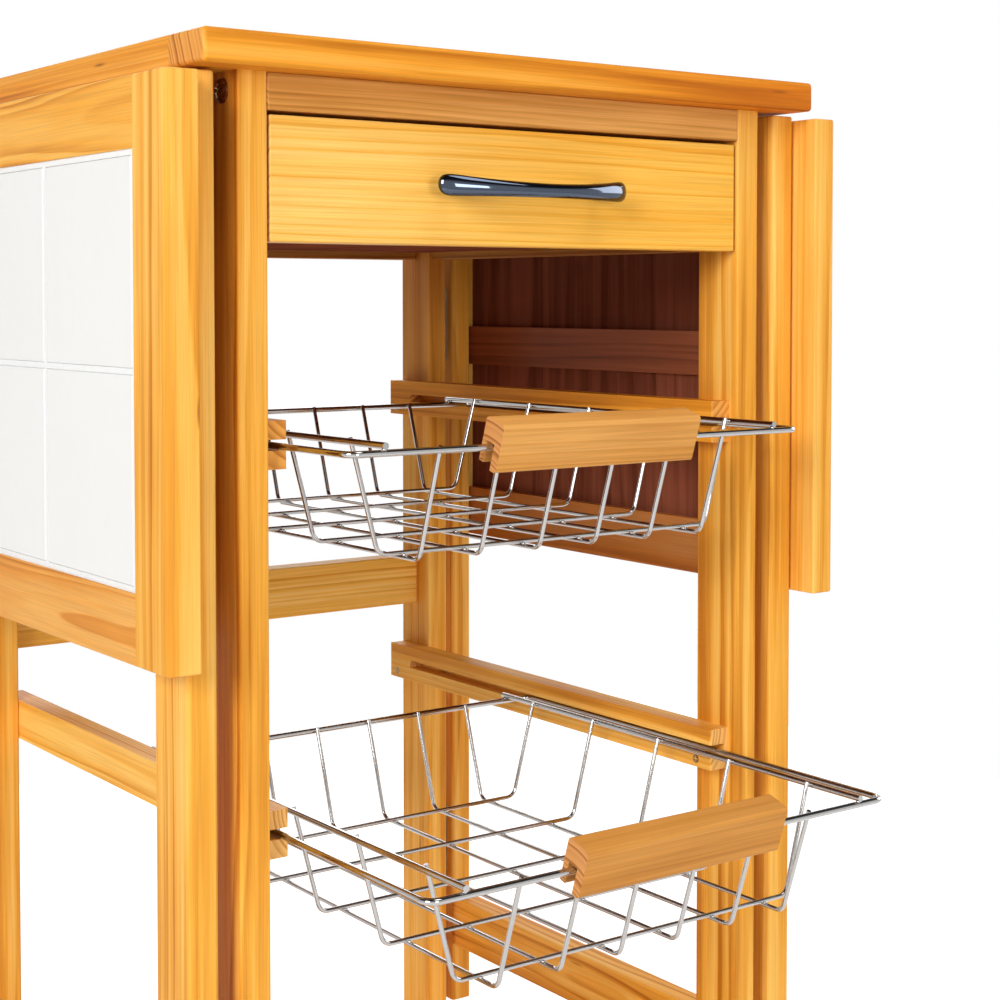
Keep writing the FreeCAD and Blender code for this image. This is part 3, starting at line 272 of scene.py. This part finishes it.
def pine(name, grain, pith, pair=None, tones=HONEY, ring_width=3.4, wander=4.0, sharpness=1.3, base=0.12,
         patch=0.8, bands=0.4, contrast=0.55, darken_along=None, gloss=0.42, lacquer=0.06, shine=0.1):
    """Lacquered pine whose grain runs along one axis, its rings centred on a pith point in millimetres.

    The depth of the tone is a base, and shares of the patches, bands and rings. A pair is the axis that
    two like boards of a node lie across, and the place halfway between them. The darkening is the axis
    along which the colour grows darker, where that starts and ends in millimetres, and what it makes of
    each colour; on some boards it paints in shade or a sheen.
    """
    material, tree, shader = new_material(name)
    where = put(tree, "TexCoord")
    place = where.outputs["Object"]
    if pair:
        place = folded(tree, place, grain, *pair)
    x, y, z = (value * MM for value in pith)
    start = {"X": (x, -y, -z), "Y": (y, x, -z), "Z": (z, -y, x)}[grain]
    turned = put(tree, "Mapping", {"Vector": place, "Location": start, "Rotation": GRAIN_TURN[grain]})
    look = use(tree, PINE_GRAIN, Place=turned.outputs[0], Ring_width=ring_width * MM, Wander=wander * MM,
               Sharpness=sharpness)
    axes = {0: where.outputs["Normal"], 1: [float(letter == grain) for letter in "XYZ"]}
    along = put(tree, "VectorMath", axes, operation="DOT_PRODUCT").outputs["Value"]
    end_grain = ramp(tree, calc(tree, "ABSOLUTE", along), 0.55, 0.9)
    depth = calc(tree, "MULTIPLY_ADD", look["Blotch"], patch, base - patch / 2)
    depth = calc(tree, "MULTIPLY_ADD", look["Bands"], bands, depth)
    colour = toned(tree, calc(tree, "MULTIPLY_ADD", look["Rings"], contrast, depth), tones)
    streak = ramp(tree, look["Fibres"], 0.34, 0.66, 0.88, 1.06)
    grey = put(tree, "CombineColor", {0: streak, 1: streak, 2: streak}).outputs[0]
    colour = mix(tree, 1.0, colour, grey, "MULTIPLY")
    colour = mix(tree, calc(tree, "MULTIPLY", look["Flecks"], RESIN_SHARE), colour, RESIN)
    sawn = mix(tree, look["Rings"], ground_tone(tones[0]), end_tone(tones[2]))
    colour = mix(tree, end_grain, colour, sawn)
    # Colour darkened along an axis: painted shade on the rear legs, rear apron and right leaf rails, and a
    # painted sheen on the drawer front, paler to the left
    if darken_along:
        axis, shallow, full, factors = darken_along
        reach = dict(zip("XYZ", put(tree, "SeparateXYZ", {0: where.outputs["Object"]}).outputs))[axis]
        darkened = mix(tree, 1.0, colour, (*factors, 1.0), "MULTIPLY")
        colour = mix(tree, ramp(tree, reach, shallow * MM, full * MM, smooth=True), colour, darkened)
    tree.links.new(colour, shader.inputs["Base Color"])
    feed(tree, shader.inputs["Roughness"], ramp(tree, look["Fibres"], 0.25, 0.75, gloss, gloss + 0.16))
    shader.inputs["Specular IOR Level"].default_value = shine
    shader.inputs["Coat Weight"].default_value = lacquer
    shader.inputs["Coat Roughness"].default_value = 0.15
    height = calc(tree, "MULTIPLY_ADD", look["Rings"], 0.5, calc(tree, "MULTIPLY", look["Fibres"], 0.5))
    bump(tree, shader, height, 0.3, GRAIN_RELIEF)
    return material


def ground_tone(pale):
    """Early wood where a board is sawn across: a little browner."""
    red, green, blue = pale
    return red * 0.9, green * 0.86, blue * 1.1, 1.0


def end_tone(dark):
    """Late wood where a board is sawn across: brown lines."""
    red, green, blue = dark
    return red * 0.8, green * 0.75, blue * 1.5, 1.0


def plain_finish(name, colour, metallic=0.0, roughness=(0.3, 0.4), size=60.0, tint=0.08, dent=0.0,
                 coat=0.0):
    """A surface of one stuff whose gloss and tone vary faintly."""
    material, tree, shader = new_material(name)
    mottle = use(tree, MOTTLE, Place=object_place(tree), Size=size, Low=roughness[0], High=roughness[1])
    dark = tuple(value * (1 - tint) for value in colour)
    share = ramp(tree, mottle["Height"], *MOTTLE_SPAN)
    tree.links.new(mix(tree, share, (*dark, 1.0), (*colour, 1.0)), shader.inputs["Base Color"])
    tree.links.new(mottle["Value"], shader.inputs["Roughness"])
    shader.inputs["Metallic"].default_value = metallic
    shader.inputs["Coat Weight"].default_value = coat
    shader.inputs["Coat Roughness"].default_value = 0.05
    if dent:
        bump(tree, shader, mottle["Height"], 0.5, dent)
    return material


GLAZE = plain_finish("white_glaze", (0.785, 0.78, 0.757), roughness=(0.1, 0.16), size=9.0, tint=0.012,
                     dent=0.0004, coat=0.4)
GROUT = plain_finish("white_grout", (0.85, 0.85, 0.836), roughness=(0.75, 0.9), size=260.0, tint=0.05,
                     dent=0.0006)
CHROME = plain_finish("polished_chrome", (0.45, 0.44, 0.43), metallic=1.0, roughness=(0.05, 0.12),
                      size=40.0)
# The handle's metal is far darker and bluer than chrome, a painted reflection of dark surroundings, with
# lamp highlights on top
PULL = plain_finish("handle_chrome_painted_reflection", (0.08, 0.097, 0.132), metallic=1.0, roughness=(0.04, 0.1), size=40.0,
                    tint=0.1)
ZINC = plain_finish("zinc_plate", (0.5, 0.47, 0.4), metallic=1.0, roughness=(0.28, 0.42), size=90.0,
                    tint=0.16)
BRONZE = plain_finish("dark_bronze", (0.32, 0.19, 0.09), metallic=1.0, roughness=(0.2, 0.34), size=220.0,
                      tint=0.3)
NYLON = plain_finish("black_nylon", (0.022, 0.022, 0.023), roughness=(0.38, 0.52), size=120.0, tint=0.25,
                     dent=0.0001)
TREAD = plain_finish("wheel_tread", (0.035, 0.035, 0.036), roughness=(0.5, 0.7), size=160.0, tint=0.3,
                     dent=0.0001)

# Thin boards behind the tiles and under the drawer are bare
BARE = dict(tones=RUSSET, ring_width=7.0, wander=14.0, bands=0.5, gloss=0.7, lacquer=0.0, shine=0.0)

# Wood nodes: grain axis, pith point in millimetres, pair of boards and what sets them apart
WOOD = {
    "top_battens": ("X", (40, 110, 722), ("Y", 0),
                    dict(tones=AMBER, ring_width=3.4, bands=0.5, darken_along=("X", -60, 185, (0.8, 0.56, 0.14)))),
    "top_side_rails": ("Y", (176, 60, 695), ("X", 0), dict(tones=AMBER, ring_width=4.6, wander=3.0)),
    "front_legs": ("Z", (122, -214, 300), ("X", 0),
                   dict(ring_width=11.0, wander=11.0, sharpness=1.0, bands=0.4, contrast=0.55, base=0.16)),
    # Rear legs: darker towards the top, painted shade under the drawer and top
    "rear_legs": ("Z", (130, 210, 200), ("X", 0),
                  dict(ring_width=2.6, wander=3.0, contrast=0.35, darken_along=("Z", 520, 660, (0.72, 0.6, 0.7)))),
    # Front top rail: a darker tone that paints in the shadow under the top's overhang
    "front_top_rail": ("X", (10, -140, 690), None,
                       dict(tones=UMBER, ring_width=2.6, contrast=0.4, base=0.05)),
    # Rear apron: darker on its front face, painted shade behind the drawer
    "rear_apron": ("X", (60, 90, 690), None, dict(darken_along=("Y", 160, 151, (0.45, 0.35, 0.5)))),
    "rear_cross_rail": ("X", (-40, 150, 380), None,
                        dict(tones=PALE, ring_width=4.2, base=0.1, contrast=0.8)),
    "side_aprons": ("Y", (100, 20, 690), ("X", 0), dict(tones=UMBER, base=0.4)),
    "lower_side_rails": ("Y", (176, 30, 70), ("X", 0), dict(wander=6.0)),
    "lower_end_rails": ("X", (-30, 190, 70), ("Y", 0), dict(wander=6.0)),
    "shelf_slats": ("X", (20, 30, 40), None, {}),
    "drawer_runners": ("Y", (110, 0, 600), ("X", 0), {}),
    "upper_basket_runners": ("Y", (112, 50, 600), ("X", 0), dict(tones=AMBER, ring_width=4.8, wander=3.0)),
    "lower_basket_runners": ("Y", (112, 10, 396), ("X", 0), dict(ring_width=2.9, wander=2.0, base=0.0)),
    "gate_left_posts": ("Z", (-152, 45, 200), ("Y", 5.5),
                        dict(ring_width=1.9, wander=3.0, sharpness=1.6, base=0.08)),
    "gate_left_rails": ("Y", (-197, 30, 251), ("Z", 450.75), dict(ring_width=4.4, wander=9.0, bands=0.15)),
    "gate_right_posts": ("Z", (140, 60, 600), ("Y", 5.5),
                         dict(ring_width=4.5, wander=6.0, sharpness=1.6, contrast=0.4)),
    "gate_right_rails": ("Y", (197, -30, 251), ("Z", 450.75), dict(ring_width=4.4, wander=7.0)),
    # Drawer front: darker towards the right so that the left reads paler, a painted sheen
    "drawer_front": ("X", (25, -120, 735), None,
                     dict(tones=PALE, ring_width=3.4, wander=3.5, sharpness=4.0, contrast=0.56, bands=0.15,
                          patch=0.5, base=0.1, darken_along=("X", -140, 60, (0.98, 0.86, 0.5)))),
    "drawer_sides": ("Y", (100, 60, 640), ("X", 0), dict(tones=PALE)),
    "drawer_back": ("X", (10, 90, 640), None, dict(tones=PALE)),
    "upper_basket_grip": ("X", (35, -205, 520), None,
                          dict(tones=TAN, ring_width=3.0, contrast=0.3, bands=0.25, patch=1.1)),
    "lower_basket_grip": ("X", (-20, -262, 340), None,
                          dict(tones=TAN, ring_width=3.0, contrast=0.2, bands=0.2, base=0.4)),
    "leaf_left_stiles": ("Z", (-145, 79, 400), ("Y", 0),
                         dict(ring_width=8.0, wander=7.0, bands=0.35, base=0.14)),
    "leaf_left_rails": ("Y", (-216, -60, 116), ("Z", 600),
                        dict(ring_width=4.2, wander=9.0, patch=1.2, bands=0.15, contrast=0.65,
                             darken_along=("Z", 640, 530, (0.86, 0.74, 0.75)))),
    # Both leaf back rails take the dark brown of painted shade
    "leaf_left_back_rail": ("Y", (-150, 30, 560), None, dict(tones=SHADE_COCOA)),
    "leaf_right_stiles": ("Z", (150, 100, 500), ("Y", 0),
                          dict(ring_width=5.0, wander=5.0, bands=0.25, contrast=0.35)),
    # Right leaf rails: darker towards their inner faces, painted shade inside the leaf
    "leaf_right_rails": ("Y", (216, 60, 116), ("Z", 600),
                         dict(ring_width=4.2, wander=9.0, patch=1.0, bands=0.15,
                              darken_along=("X", 199, 189, (0.55, 0.4, 0.5)))),
    "leaf_right_back_rail": ("Y", (150, -30, 560), None, dict(tones=SHADE_COCOA)),
    "leaf_left_backing_board": ("Z", (-90, 10, 300), None, BARE),
    "leaf_right_backing_board": ("Z", (90, 40, 330), None, BARE),
    "top_backing_board": ("Y", (60, 10, 500), None, BARE),
    "drawer_bottom": ("Y", (30, 10, 560), None, BARE),
}
FINISH = {"tiles": GLAZE, "grout": GROUT, "rim": CHROME, "bars": CHROME, "wires": CHROME, "handle": PULL,
          "plates": ZINC, "hinges": ZINC, "screws": ZINC, "bolts": BRONZE}


def dress(piece, material):
    piece.data.materials.clear()
    piece.data.materials.append(material)


def finish_of(node):
    """The finish of a node that isn't wood, from its name."""
    if node.startswith("caster_fork"):
        return NYLON
    if node.startswith("caster_wheels"):
        return TREAD
    return FINISH[node.rsplit("_", 1)[1]]


for name, piece in nodes.items():
    if name in WOOD:
        grain, pith, pair, choice = WOOD[name]
        dress(piece, pine("pine_" + name, grain, pith, pair, **choice))
    else:
        dress(piece, finish_of(name))


# Small pieces as surfaces on a grid

SHARP_ANGLE = math.radians(40)

# A pressed cross as shares of its head's radius, and how much shallower it is at the rim
CROSS_DEPTH = 0.45
CROSS_HALF_WIDTH = 0.14
CROSS_REACH = 0.62
CROSS_SHALLOWER = 0.6


def closed_shell(rows, top, bottom):
    """Rings of points joined into one closed skin: quads between rings, a fan to a point at each end."""
    count, spokes = rows.shape[:2]
    points = np.concatenate([rows.reshape(-1, 3), [top, bottom]])
    here = np.arange(spokes)
    after = np.roll(here, -1)
    first = np.stack([np.full(spokes, count * spokes), here, after], 1)
    last_row = (count - 1) * spokes
    last = np.stack([np.full(spokes, count * spokes + 1), last_row + after, last_row + here], 1)
    step = (np.arange(count - 1) * spokes)[:, None]
    below = step + spokes
    quads = np.stack([step + here, below + here, below + after, step + after], -1).reshape(-1, 4)
    return points, [first, quads, last]


def pressed_cross(x, y, half_width, reach):
    """Depth share of a cross-shaped recess: full along the middles of its bars, none past their edges."""
    soft = half_width * 0.5
    bar = np.maximum(half_width - np.abs(x), half_width - np.abs(y)) / soft
    ends = (reach - np.hypot(x, y)) / soft
    return np.clip(np.minimum(bar, ends), 0, 1)


def screw_head(radius, dome, skirt, rings=12, spokes=64):
    """A round head facing +Z: a dome that falls with the square of the radius, less the pressed cross."""
    share = np.linspace(0, 1, rings + 1)[1:, None]
    turn = np.linspace(0, 2 * np.pi, spokes, endpoint=False)
    x = radius * share * np.cos(turn)
    y = radius * share * np.sin(turn)
    depth = CROSS_DEPTH * radius
    cross = pressed_cross(x, y, CROSS_HALF_WIDTH * radius, CROSS_REACH * radius)
    cross *= 1 - CROSS_SHALLOWER * share
    z = dome * (1 - share ** 2) - depth * cross
    side = np.stack([x[-1], y[-1], np.full(spokes, -skirt)], -1)
    rows = np.concatenate([np.stack([x, y, z], -1), side[None]])
    return closed_shell(rows, (0, 0, dome - depth), (0, 0, -skirt))


def bead(radii, rings=6, spokes=12):
    """A weld bead: an ellipsoid in latitude and longitude."""
    lat = np.linspace(np.pi / 2, -np.pi / 2, rings + 2)[1:-1, None]
    turn = np.linspace(0, 2 * np.pi, spokes, endpoint=False)
    x = np.cos(lat) * np.cos(turn)
    y = np.cos(lat) * np.sin(turn)
    z = np.sin(lat) + 0 * turn
    return closed_shell(np.stack([x, y, z], -1) * radii, (0, 0, radii[2]), (0, 0, -radii[2]))


def facing(direction):
    """Axes of a piece whose Z points that way."""
    z = np.array(direction, float)
    x = np.cross((0, 0, 1) if abs(z[2]) < 0.9 else (0, 1, 0), z)
    x /= np.linalg.norm(x)
    return np.stack([x, np.cross(z, x), z], 1)


def scatter(shape, places):
    """Copies of one shape at many places; each place is a point and the way it faces."""
    points, faces = shape
    origins = np.array([point for point, direction in places], float)
    axes = np.array([facing(direction) for point, direction in places])
    moved = np.einsum("kij,pj->kpi", axes, points) + origins[:, None]
    shift = np.arange(len(places))[:, None, None] * len(points)
    copies = [(face + shift).reshape(-1, face.shape[-1]).tolist() for face in faces]
    return moved.reshape(-1, 3), sum(copies, [])


def make_piece(name, shape, material, body):
    points, faces = shape
    mesh = bpy.data.meshes.new(name)
    mesh.from_pydata(points.tolist(), [], faces)
    mesh.shade_smooth()
    mesh.set_sharp_from_angle(angle=SHARP_ANGLE)
    piece = bpy.data.objects.new(name, mesh)
    bpy.context.scene.collection.objects.link(piece)
    dress(piece, material)
    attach(piece, body)
    return piece


def low(node):
    return np.array(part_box(node)[0])


def high(node):
    return np.array(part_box(node)[1])


def middle(node):
    return (low(node) + high(node)) / 2


LEG_OUT = high("front_legs")[0]
RUNNER_INSET = 28 * MM
RUNNER_FACE = LEG_OUT - RUNNER_INSET
RAIL_HALF = 7.75 * MM
BOLT_RADIUS = 5.7 * MM
BOLT_DOME = 2.2 * MM
BOLT_SKIRT = 1.6 * MM
BOLT_RIM = 1 * MM


def bolt_places():
    """Where the bolt heads stand on the legs' outer faces: level with the rails that they hold."""
    ends = [middle("front_top_rail")[1:], middle("rear_apron")[1:], middle("rear_cross_rail")[1:]]
    low_z = middle("lower_end_rails")[2]
    front, rear = low("lower_end_rails")[1] + RAIL_HALF, high("lower_end_rails")[1] - RAIL_HALF
    ends += [(front, low_z), (rear, low_z)]
    return [((side * LEG_OUT, y, z), (side, 0, 0)) for side in SIDES for y, z in ends]


def bolt_head():
    """The frame bolt's head, its dome over a low rim, moved out so that it stands on the leg."""
    points, faces = screw_head(BOLT_RADIUS, BOLT_DOME, BOLT_SKIRT)
    return points + (0, 0, BOLT_RIM), faces


HANDLE_HALF = 57.5 * MM
ARCH_REACH = 23 * MM
ARCH_FALL = 13.5 * MM
ARCH_DROOP = 2 * MM
BAR_RISE = 3.5 * MM
END_MORE_RISE = 2.3 * MM
BAR_DEPTH = 3.3 * MM
END_LESS_DEPTH = 0.6 * MM
END_BLUNTNESS = 26
POST_X = 46 * MM
POST_LENGTH = 13 * MM
POST_RADIUS = 3.2 * MM
POST_SWELL = 1.2 * MM
DRAWER_FACE = low("drawer_front")[1]
HANDLE_Z = middle("drawer_handle")[2]


def handle_bar(rings=96, spokes=40):
    """The handle's bar: an oval carried along an arch, the arch falling back towards both ends.

    With s from -1 to 1, the arch stands off the drawer by its reach less its fall times s squared, and
    hangs by its droop times 1 less s squared. The oval's half height grows and its half depth shrinks
    with s squared, and both close in a round end by the root of 1 less s to the power of the bluntness.
    """
    s = np.sin(np.linspace(-np.pi / 2, np.pi / 2, rings + 2)[1:-1])[:, None]
    turn = np.linspace(0, 2 * np.pi, spokes, endpoint=False)
    close = np.sqrt(1 - s ** END_BLUNTNESS)
    slope = -2 * ARCH_FALL * s
    length = np.hypot(HANDLE_HALF, slope)
    depth = (BAR_DEPTH - END_LESS_DEPTH * s ** 2) * close * np.sin(turn)
    rise = (BAR_RISE + END_MORE_RISE * s ** 2) * close * np.cos(turn)
    x = HANDLE_HALF * s + depth * slope / length
    y = DRAWER_FACE - ARCH_REACH + ARCH_FALL * s ** 2 + depth * HANDLE_HALF / length
    z = HANDLE_Z - ARCH_DROOP * (1 - s ** 2) + rise
    ends = [(side * HANDLE_HALF, DRAWER_FACE - ARCH_REACH + ARCH_FALL, HANDLE_Z) for side in SIDES]
    return closed_shell(np.stack([x, y, z], -1), *ends)


def handle_post(side, rings=10, spokes=28):
    """A post of the handle: its radius swells with the square of the nearness to the drawer."""
    near = np.linspace(0, 1, rings)[:, None]
    turn = np.linspace(0, 2 * np.pi, spokes, endpoint=False)
    radius = POST_RADIUS + POST_SWELL * near ** 2
    start = DRAWER_FACE - POST_LENGTH
    x = side * POST_X + radius * np.cos(turn)
    y = start + POST_LENGTH * near + 0 * turn
    z = HANDLE_Z + radius * np.sin(turn)
    ends = [(side * POST_X, start, HANDLE_Z), (side * POST_X, DRAWER_FACE, HANDLE_Z)]
    return closed_shell(np.stack([x, y, z], -1), *ends)


def joined(shapes):
    """Several closed skins as one mesh."""
    points = np.concatenate([shape[0] for shape in shapes])
    starts = np.cumsum([0] + [len(shape[0]) for shape in shapes])
    faces = [(face + start).tolist() for (_, parts), start in zip(shapes, starts) for face in parts]
    return points, sum(faces, [])


handle_shape = joined([handle_bar(), handle_post(-1), handle_post(1)])
handle = make_piece("bow_handle", handle_shape, PULL, "drawer")
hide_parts("drawer_handle")

bolts = make_piece("bolt_heads", scatter(bolt_head(), bolt_places()), BRONZE, "frame")
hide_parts("frame_bolts")

PLATE_SCREW = screw_head(2.6 * MM, 0.3 * MM, 0.4 * MM)
RUNNER_SCREW = screw_head(2.4 * MM, 0.2 * MM, 0.5 * MM)
HINGE_MIDDLES = (-83 * MM, 83 * MM)
HINGE_SCREW_REACH = 13 * MM
HINGE_SCREW_DROP = 15 * MM
FIXED_SCREW_X = 172 * MM
HINGE_PLATE = 1 * MM
GATE_HINGE_HEIGHTS = (615 * MM, 255 * MM)
GATE_SCREW_REACH = 17 * MM
GATE_PLATE = 1.5 * MM
LEG_SCREW_X = 152.5 * MM
GATE_SCREW_Y = 158.5 * MM
RUNNER_SCREW_DROP = 6.9 * MM
RUNNER_SCREW_FRONT = 12 * MM
RUNNER_SCREW_REAR = 8 * MM


def screw_pair(reach):
    """A screw on each side of a hinge's middle."""
    return -reach, reach


def leaf_screws(side, node, plane_x):
    """Two screws in each moving hinge plate, facing in from the leaf."""
    z = high(node)[2] - HINGE_SCREW_DROP
    return [((plane_x, hinge + reach, z), (-side, 0, 0))
            for hinge in HINGE_MIDDLES for reach in screw_pair(HINGE_SCREW_REACH)]


for side, name in zip(SIDES, ("left", "right")):
    rails = f"leaf_{name}_rails"
    inner = low(rails)[0] if side > 0 else high(rails)[0]
    screws = scatter(PLATE_SCREW, leaf_screws(side, f"leaf_{name}_hinge_plates", inner))
    make_piece(f"leaf_{name}_hinge_screws", screws, ZINC, f"leaf_{name}")


def fixed_screws():
    """Screws of the hinge plates under the top and of the gate hinges."""
    places = []
    under = low("top_battens")[2] - HINGE_PLATE
    leg_back = high("rear_legs")[1] + GATE_PLATE
    gate_in = low("gate_right_posts")[0] - GATE_PLATE
    for side in SIDES:
        for hinge in HINGE_MIDDLES:
            for reach in screw_pair(HINGE_SCREW_REACH):
                places.append(((side * FIXED_SCREW_X, hinge + reach, under), (0, 0, -1)))
        for hinge_z in GATE_HINGE_HEIGHTS:
            for reach in screw_pair(GATE_SCREW_REACH):
                places.append(((side * LEG_SCREW_X, leg_back, hinge_z + reach), (0, 1, 0)))
                places.append(((side * gate_in, GATE_SCREW_Y, hinge_z + reach), (-side, 0, 0)))
    return places


def runner_screws():
    """One screw at each end of each basket runner, under the groove."""
    places = []
    for runner in ("upper_basket_runners", "lower_basket_runners"):
        z = middle(runner)[2] - RUNNER_SCREW_DROP
        for side in SIDES:
            for y in (low(runner)[1] + RUNNER_SCREW_FRONT, high(runner)[1] - RUNNER_SCREW_REAR):
                places.append(((side * RUNNER_FACE, y, z), (-side, 0, 0)))
    return places


make_piece("frame_hinge_screws", scatter(PLATE_SCREW, fixed_screws()), ZINC, "frame")
make_piece("runner_screws", scatter(RUNNER_SCREW, runner_screws()), BRONZE, "frame")

RIM_HALF = 1.6 * MM
MESH_HALF = 1.1 * MM
LONG_WIRES, LONG_PITCH = 6, 34.5 * MM
CROSS_WIRES, CROSS_PITCH = 5, 57 * MM
END_LIFT = 0.4 * MM
BAR_LIFT = 3.6 * MM
BEAD = bead((1.15 * MM, 1.15 * MM, 0.9 * MM))


def row(count, pitch):
    """Places at an even pitch about 0."""
    return (np.arange(count) - (count - 1) / 2) * pitch


def weld_places(name):
    """Where the basket's wires are welded: floor crossings, side bars on the rim, wire ends at the rim."""
    rim_low, rim_high = low(f"{name}_basket_rim"), high(f"{name}_basket_rim")
    bar_x = high(f"{name}_basket_side_bars")[0] - RIM_HALF
    floor = low(f"{name}_basket_wires")[2] + 2 * MESH_HALF
    front, rear = rim_low[1] + RIM_HALF, rim_high[1] - RIM_HALF
    rim_z = rim_high[2] - RIM_HALF
    across = row(LONG_WIRES, LONG_PITCH)
    along = (front + rear) / 2 + row(CROSS_WIRES, CROSS_PITCH)
    up = (0, 0, 1)
    crossings = [((x, y, floor), up) for x in across for y in along]
    on_rim = [((side * bar_x, y, rim_high[2]), up) for side in SIDES for y in (front, rear)]
    inside = (front + RIM_HALF, rear - RIM_HALF)
    behind = [((x, y, rim_z + END_LIFT), up) for x in across for y in inside]
    bars = [((side * (bar_x - RIM_HALF), y, rim_z + BAR_LIFT), up) for side in SIDES for y in along]
    return crossings + on_rim + behind + bars


for name in ("upper", "lower"):
    beads = scatter(BEAD, weld_places(name))
    make_piece(f"{name}_basket_welds", beads, CHROME, f"{name}_basket")


# Camera at the photograph's place

CAMERA_PLACE = (-0.5563, -0.9077, 0.6326)
CAMERA_TILT_DOWN = 2.10
CAMERA_TURN = -36.14
CAMERA_LENS = 66.975
CAMERA_SHIFT = -0.13375


def make_camera():
    data = bpy.data.cameras.new("camera")
    data.sensor_width = 36.0
    data.lens = CAMERA_LENS
    data.shift_y = CAMERA_SHIFT
    data.clip_start = 0.01
    camera = bpy.data.objects.new("camera", data)
    bpy.context.scene.collection.objects.link(camera)
    camera.location = CAMERA_PLACE
    camera.rotation_euler = (math.radians(90 - CAMERA_TILT_DOWN), 0, math.radians(CAMERA_TURN))
    bpy.context.scene.camera = camera


# Floor, lamps and a white studio

WHITE = (1, 1, 1, 1)
FLOOR_GREY = (0.86, 0.86, 0.86, 1)
FLOOR_REACH = 1.4
FLOOR_GLOW = 0.45
CEILING_SPAN = (0.25, 0.6)
CEILING = 0.05
SKY_LIGHT = 0.25
AIM = (0, 0, 0.5)

# Place of each lamp, its size and its power
LAMPS = {
    "key": ((0.5, -1.3, 3.0), 1.2, 18),
    "low": ((-0.3, -2.6, 0.72), 0.75, 19),
    "left": ((-2.3, -1.3, 1.4), 1.1, 58),
    "right": ((2.5, -0.4, 1.3), 1.4, 25),
    "back": ((1.0, 2.3, 1.9), 1.6, 31),
}


def seen_rays(tree):
    """1 for rays that show the background: camera, glossy and transmission rays."""
    rays = put(tree, "LightPath").outputs
    seen = calc(tree, "MAXIMUM", rays["Is Camera Ray"], rays["Is Glossy Ray"])
    return calc(tree, "MAXIMUM", seen, rays["Is Transmission Ray"])


def make_floor():
    mesh = bpy.data.meshes.new("floor")
    corners = [(x * FLOOR_REACH, y * FLOOR_REACH, 0) for x, y in ((-1, -1), (1, -1), (1, 1), (-1, 1))]
    mesh.from_pydata(corners, [], [(0, 1, 2, 3)])
    floor = bpy.data.objects.new("floor", mesh)
    bpy.context.scene.collection.objects.link(floor)
    material = bpy.data.materials.new("pale_floor")
    material.use_nodes = True
    tree = material.node_tree
    tree.nodes.clear()
    lit = put(tree, "BsdfDiffuse", {"Color": FLOOR_GREY}).outputs[0]
    strength = calc(tree, "MULTIPLY", seen_rays(tree), FLOOR_GLOW)
    glow = put(tree, "Emission", {"Color": WHITE, "Strength": strength}).outputs[0]
    both = put(tree, "AddShader", {0: lit, 1: glow}).outputs[0]
    tree.links.new(both, put(tree, "OutputMaterial").inputs[0])
    dress(floor, material)


def make_world():
    """White all round under a dim ceiling; the light that it sheds is even and a quarter as bright."""
    world = bpy.data.worlds.new("studio")
    bpy.context.scene.world = world
    world.use_nodes = True
    tree = world.node_tree
    tree.nodes.clear()
    rise = put(tree, "SeparateXYZ", {0: put(tree, "TexCoord").outputs["Generated"]}).outputs["Z"]
    shown = ramp(tree, rise, *CEILING_SPAN, 1.0, CEILING, smooth=True)
    seen = seen_rays(tree)
    shed = calc(tree, "MULTIPLY", calc(tree, "SUBTRACT", 1.0, seen), SKY_LIGHT)
    strength = calc(tree, "MULTIPLY_ADD", seen, shown, shed)
    sky = put(tree, "Background", {"Color": WHITE, "Strength": strength})
    tree.links.new(sky.outputs[0], put(tree, "OutputWorld").inputs[0])


def make_lamp(name, place, size, power):
    """A square lamp that looks at the middle of the cart."""
    data = bpy.data.lights.new(name, "AREA")
    data.shape = "SQUARE"
    data.size = size
    data.energy = power
    lamp = bpy.data.objects.new(name, data)
    bpy.context.scene.collection.objects.link(lamp)
    lamp.location = place
    way = np.array(AIM) - np.array(place)
    flat = math.hypot(way[0], way[1])
    lamp.rotation_euler = (math.atan2(flat, -way[2]), 0, math.atan2(-way[0], way[1]))


make_camera()
make_floor()
make_world()
for name, lamp in LAMPS.items():
    make_lamp(name, *lamp)
bpy.context.scene.view_settings.view_transform = "Standard"
